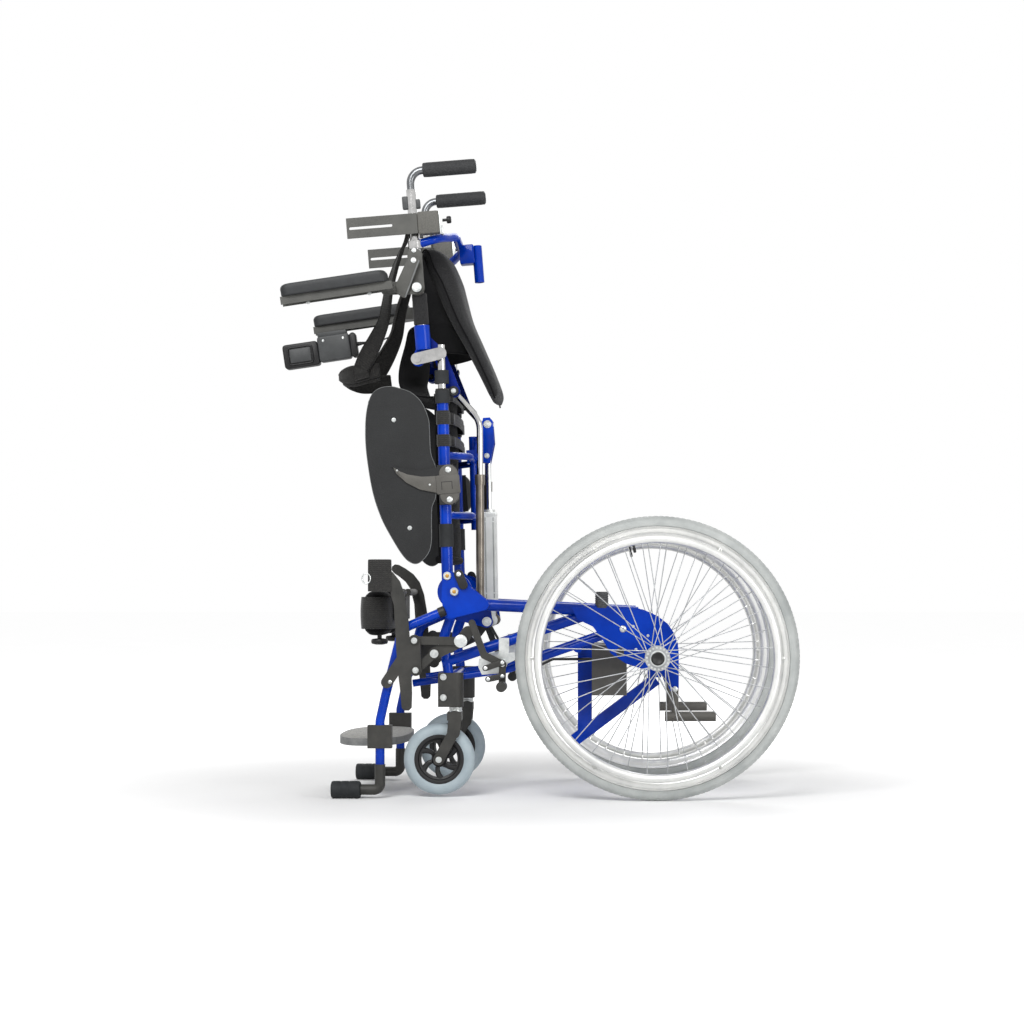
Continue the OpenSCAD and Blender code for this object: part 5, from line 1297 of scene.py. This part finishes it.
def shoulder_straps():
    """Two straps turned by an angle about their own line, with a hem along each edge."""
    line = curve(STRAP_PATH, 60)
    turn = np.radians(eased(STRAP_TURN, 60))[:, None]
    half = eased(STRAP_HALF, 60)
    up = unit(np.cross(np.gradient(line, axis=0), (0, 1, 0)))
    side = np.sin(turn) * up + np.cos(turn) * np.array((0, 1, 0))
    ahead = unit(np.gradient(line, axis=0))
    across = unit(side - np.sum(side * ahead, -1, keepdims=True) * ahead)
    shells = [sweep(line, half, STRAP_THICK, side, 28, 0.45)]
    for edge in (-1, 1):
        hem = line + edge * across * (half - HEM_IN)[:, None]
        shells.append(sweep(hem, 1.9, 4.1, side, 10))
    straps = piece("shoulder_straps", shells + mirrored(shells), WEBBING, "back", on_back)
    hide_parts("harness")


def hip_belt():
    """The padded belt that the straps meet: a wide band, a second one under it and two seams."""
    line = curve(BELT_PATH, 70)
    half = eased(BELT_HALF, 70)
    shells = [sweep(line, half, 5.2, (0, 0, 1), 28, 0.5)]
    low = line.copy()
    low[:, 2] -= UNDER_BELT_DROP
    low[:, 0] = BELT_START + (low[:, 0] - BELT_START) * 0.93
    low[:, 1] *= 0.95
    shells.append(sweep(low, half * 0.72, 4.2, (0, 0, 1), 24, 0.5))
    for level in (-0.62, 0.62):
        seam = line.copy()
        seam[:, 2] += level * half
        shells.append(sweep(seam, 1.3, 5.9, (0, 0, 1), 10))
    belt = piece("hip_belt", shells, WEBBING, "back", on_back)


# Seat, knee pads and arm pads

SEAT_SPAN = (74, 434)
SEAT_HALF = 197
SEAT_SAG = 32
SEAT_FRONT = -17.5
ROLL_FRONT = -19
ROLL_HALF = 196
ROLL_R = 8.5
ROLL_BELOW = 2.0
BAND_Z = ((416, 444), (366, 396), (318, 344))
BAND_BORE = 12.75
BAND_R = 14.9
BAND_EASE = 3
BUCKLE_X = (9, 23)
BUCKLE_Y = (150, 178)
BAND_HALF = 198
BAND_BACK = 10
BAND_BULGE = 17


def seat_cloth():
    """The seat sheet, sagging between the tubes, with a rolled front edge and tension bands behind it."""
    y = np.linspace(-SEAT_HALF, SEAT_HALF, 61)[None, :]
    z = np.linspace(*SEAT_SPAN, 55)[:, None]
    sag = SEAT_SAG * (1 - (y / SEAT_TUBE_Y) ** 2)
    folds = 1.1 * np.sin(z / 17 + np.abs(y) / 40) * np.clip((SEAT_HALF - np.abs(y)) / 50, 0, 1)
    points = xyz(SEAT_FRONT + sag + folds, y, z)
    sling = mesh_of("seat_sheet", [sheet_grid(points)], on_tube)
    add_wall(sling, 4.4)
    dress(sling, CLOTH, "seat")
    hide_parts("seat_sling")
    y = np.linspace(-ROLL_HALF, ROLL_HALF, 60)
    x = ROLL_FRONT + SEAT_SAG * (1 - (y / SEAT_TUBE_Y) ** 2)
    roll = xyz(x, y, SEAT_SPAN[0] - ROLL_BELOW)
    piece("seat_front_roll", [tube(roll, ROLL_R, (0, 0, 1), 18)], CLOTH, "seat", on_tube)
    bands, buckles = [], []
    for low, high in BAND_Z:
        mid, half = (low + high) / 2, (high - low) / 2
        ring = [(BAND_BORE, low), (BAND_R - 0.5, low), (BAND_R, low + BAND_EASE), (BAND_R, high - BAND_EASE),
                (BAND_R - 0.5, high), (BAND_BORE, high)]
        for _, s in SIDES:
            bands.append(hoop(ring, (0, s * SEAT_TUBE_Y, 0), (0, 0, 1), 36))
            buckle = (*BUCKLE_X, mid - half * 0.8, mid + half * 0.8)
            buckles.append(box(buckle, *faces_of(s, *BUCKLE_Y), 3, 1.2))
        t = np.linspace(-1, 1, 40)
        path = xyz(BAND_BACK + BAND_BULGE * (1 - np.abs(t) ** 3), BAND_HALF * t, mid)
        bands.append(sweep(path, half * 0.86, 1.4, (0, 0, 1), 20, 0.4))
    piece("tension_bands", bands, RIBBED, "seat", on_tube)
    piece("band_buckles", buckles, PLASTIC, "seat", on_tube)


PAD_MID_X = -325.3
PAD_Y = 118
PAD_HALF = 82
PAD_THICK = 38
PAD_LEVELS = [352, 362, 380, 400, 420, 438, 448]
PAD_SHARE = [0.5, 0.82, 1, 1, 1, 0.82, 0.5]
SLEEVE_SPAN = (366, 436)
SLEEVE_MID = 401


def knee_pad(name, side):
    """A stuffed knee pad, swollen under pressure, in a ribbed sleeve."""
    share = np.array(PAD_SHARE)
    line = [(PAD_MID_X, side * PAD_Y, z) for z in PAD_LEVELS]
    wide = (PAD_HALF - 4) * (1 - 0.35 * (1 - share))
    pad = mesh_of(f"{name}_knee_pad", [sweep(line, wide, (PAD_THICK - 5) * share, (0, 1, 0), 40, 0.6)])
    inflate(pad, 5, 6)
    dress(pad, CLOTH, "leg_rest")
    c, s = oval(round_turn(72), 0.55)
    levels = np.linspace(*SLEEVE_SPAN, 15)
    bulge = 1 - 0.05 * ((levels - SLEEVE_MID) / 35) ** 2
    x = PAD_MID_X + 0.97 * PAD_THICK * np.outer(bulge, s)
    y = side * PAD_Y + (PAD_HALF + 1.2) * np.outer(bulge, c)
    ring = xyz(x, y, levels[:, None])
    sleeve = mesh_of(f"{name}_pad_sleeve", [skin(ring, close_ends=False)])
    add_wall(sleeve, 1.6, -1)
    dress(sleeve, RIBBED, "leg_rest")
    return pad


STRAP_FOLD = ((257.4, 448), (257.4, 470), (257.2, 496), (256, 511), (252, 516), (248, 511), (246.6, 496),
              (246, 478), (238, 462), (220, 454), (198, 449))
STRAP_X = -309.5
RING_AT = (-338, 257.6, 476)
RING_REACH = (9, 11)


def knee_strap(side):
    """A strap folded over the top of a knee bar and down to its pad, with a ring at its edge."""
    line = curve([(STRAP_X, side * y, z) for y, z in STRAP_FOLD], 48)
    piece("pad_strap", [sweep(line, 25, 1.5, (1, 0, 0), 20, 0.4)], RIBBED, "leg_rest")
    t = round_turn(40)
    x, y, z = on_side(side, RING_AT)
    ring = xyz(x + RING_REACH[0] * np.cos(t), y, z + RING_REACH[1] * np.sin(t))
    piece("pad_ring", [tube(ring, 1.6, (0, 1, 0), 10, loop=True)], STEEL, "leg_rest")


def knee_pads():
    """Both knee pads, in place of the hidden pair of solids, and the strap of the left one."""
    made = [knee_pad(name, side) for name, side in SIDES]
    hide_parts("knee_pads")
    knee_strap(-1)


RAIL_TOP = 8.6
ARM_PAD_X = (2, 234)
ARM_PAD_HALF = 26
ARM_PAD_RISE = 25
ARM_PAD_EDGE = 10
ARM_PAD_CROWN = 0.8


def arm_pad(name, side):
    """A moulded arm pad: a rounded outline whose edge falls by a quarter circle, crowned along its length."""
    x0, x1 = ARM_PAD_X
    corners = [(x0, -ARM_PAD_HALF), (x1, -ARM_PAD_HALF), (x1, ARM_PAD_HALF), (x0, ARM_PAD_HALF)]
    outline = rounded(corners, 18, 12)
    middle, reach = (x0 + x1) / 2, (x1 - x0) / 2
    centre = np.array([middle, 0])
    k = np.linspace(0, math.pi / 2, 9)
    level = RAIL_TOP + np.concatenate([[0, 0.6], [3, 12], ARM_PAD_RISE - ARM_PAD_EDGE * (1 - np.sin(k))])
    inward = np.concatenate([[3, 1.2], [0.6, 0.2], ARM_PAD_EDGE * (1 - np.cos(k))])
    lift = 1 - inward[:, None, None] / np.linalg.norm(outline - centre, axis=1)[None, :, None]
    flat = centre + (outline - centre)[None] * lift
    crown = ARM_PAD_CROWN * (1 - ((flat[..., 0] - middle) / reach) ** 2)
    z = level[:, None] + np.where(level[:, None] > RAIL_TOP + 14, crown, 0)
    points = xyz(flat[..., 0], side * ARM_Y + flat[..., 1], z)
    pad = piece(f"{name}_moulded_pad", [skin(points)], VINYL, f"{name}_arm", on_arm)
    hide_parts(f"{name}_arm_pad")


# Guards, foot board and strut

GUARD_LINE = [(-103.9, 454.5), (-129, 451.5), (-147, 436), (-159.7, 398), (-165.5, 343.1), (-164.3, 287.2),
              (-158, 225.7), (-145.4, 174.6), (-129, 134.6), (-105, 88.1), (-87.2, 69.8), (-70.4, 68.8),
              (-50.1, 86.7), (-40.8, 111.3), (-37.6, 150), (-33.7, 185.2), (-23, 212.3), (-18.7, 267.4),
              (-26.9, 304), (-26, 351.8), (-26.6, 379.1), (-37.9, 413.6), (-58.2, 437), (-80, 447.5)]
GUARD_Y = 227.5


def guards():
    """A grey edge strip round each guard."""
    edges = []
    for _, s in SIDES:
        line = curve(np.array([(x, s * GUARD_Y, z) for x, z in GUARD_LINE]), 260, closed=True)
        edges.append(sweep(line, 2.8, 0.9, (0, 1, 0), 12, 0.8, loop=True))
    piece("guard_edges", edges, TRIM, "seat", on_seat)


BOARD_X = -340
BOARD_REACH = (78, 214)
BOARD_TOP = 128
BOARD_SKIRT = 127.6
BOARD_RIB_PITCH = 9.2
BOARD_RIB_FOOT = 0.15
BOARD_RIB_RISE = 0.9
BOARD_SHARES = (0.975, 0.03)


def board_ribs():
    """Rings of ribs on the foot board: a rippled height over shrinking copies of the board's outline, lighter
    than its sides as painted highlight.
    """
    share = np.linspace(*BOARD_SHARES, 150)
    c, s = oval(round_turn(144), 0.77)
    wave = np.cos(TAU * BOARD_REACH[0] * (BOARD_SHARES[0] - share) / BOARD_RIB_PITCH)
    ripple = BOARD_RIB_FOOT + BOARD_RIB_RISE * (0.5 - 0.5 * wave)
    x = BOARD_X + BOARD_REACH[0] * np.outer(share, c)
    points = xyz(x, BOARD_REACH[1] * np.outer(share, s), (BOARD_TOP + ripple)[:, None])
    skirt = points[:1].copy()
    skirt[..., 2] = BOARD_SKIRT
    piece("board_ribs", [skin(np.concatenate([skirt, points]))], RIBS_PAINTED_HIGHLIGHT, "foot_board")


STRUT_FOOT = (-82, 382)
STRUT_TOP = (90.8, 0, 373)
STRUT_CAPS = ((-17, 17, 236, 246), (-17, 17, 40, 48))
STRUT_CAP_HALF = 18.8
STRUT_HALF = 18.4
GROOVE_X = (-9, 9)
GROOVE_HALF = 1.6
GROOVE_SPAN = (50, 234)
STRUT_SCREW_Z = (62, 224)
STRUT_SCREW_R = 1.6


def on_strut(points):
    """Strut places start at its foot pin and run up the strut to its top pin on the seat."""
    reach = on_seat(np.array([STRUT_TOP]))[0] - np.array((STRUT_FOOT[0], 0, STRUT_FOOT[1]))
    return turned(points, STRUT_FOOT, -math.atan2(reach[0], reach[2]))


def strut_trim():
    """End caps, side grooves darkened with painted shade, and small screws of the lift strut."""
    caps = [box(b, -STRUT_CAP_HALF, STRUT_CAP_HALF, 4, 1.4) for b in STRUT_CAPS]
    piece("strut_caps", caps, STRUT, "lift_body", on_strut)
    # The grooves are darker strips: painted shade in the recesses
    grooves = [box((x - GROOVE_HALF, x + GROOVE_HALF, *GROOVE_SPAN), -STRUT_HALF, STRUT_HALF, 1.2, 0.4)
               for x in GROOVE_X]
    piece("strut_grooves", grooves, STRUT_GROOVE_PAINTED_SHADE, "lift_body", on_strut)
    screws = []
    for x in GROOVE_X:
        for z in STRUT_SCREW_Z:
            screws += dome_bolt((x, -STRUT_HALF, z), STRUT_SCREW_R, (0, -1, 0))
    piece("strut_screws", screws, STEEL, "lift_body", on_strut)


coat_nodes()
set_camera()
set_world()
for lamp in LAMPS:
    set_lamp(*lamp)
set_floor()
bpy.context.scene.view_settings.view_transform = "Standard"

trim()
lead_boot()
rear_wheels()
casters()
grips()
crossbar()
arm_metal()
hand_control()
back_flap()
back_sling()
waist_sheet()
shoulder_straps()
hip_belt()
seat_cloth()
knee_pads()
for side_name, side_sign in SIDES:
    arm_pad(side_name, side_sign)
guards()
board_ribs()
strut_trim()
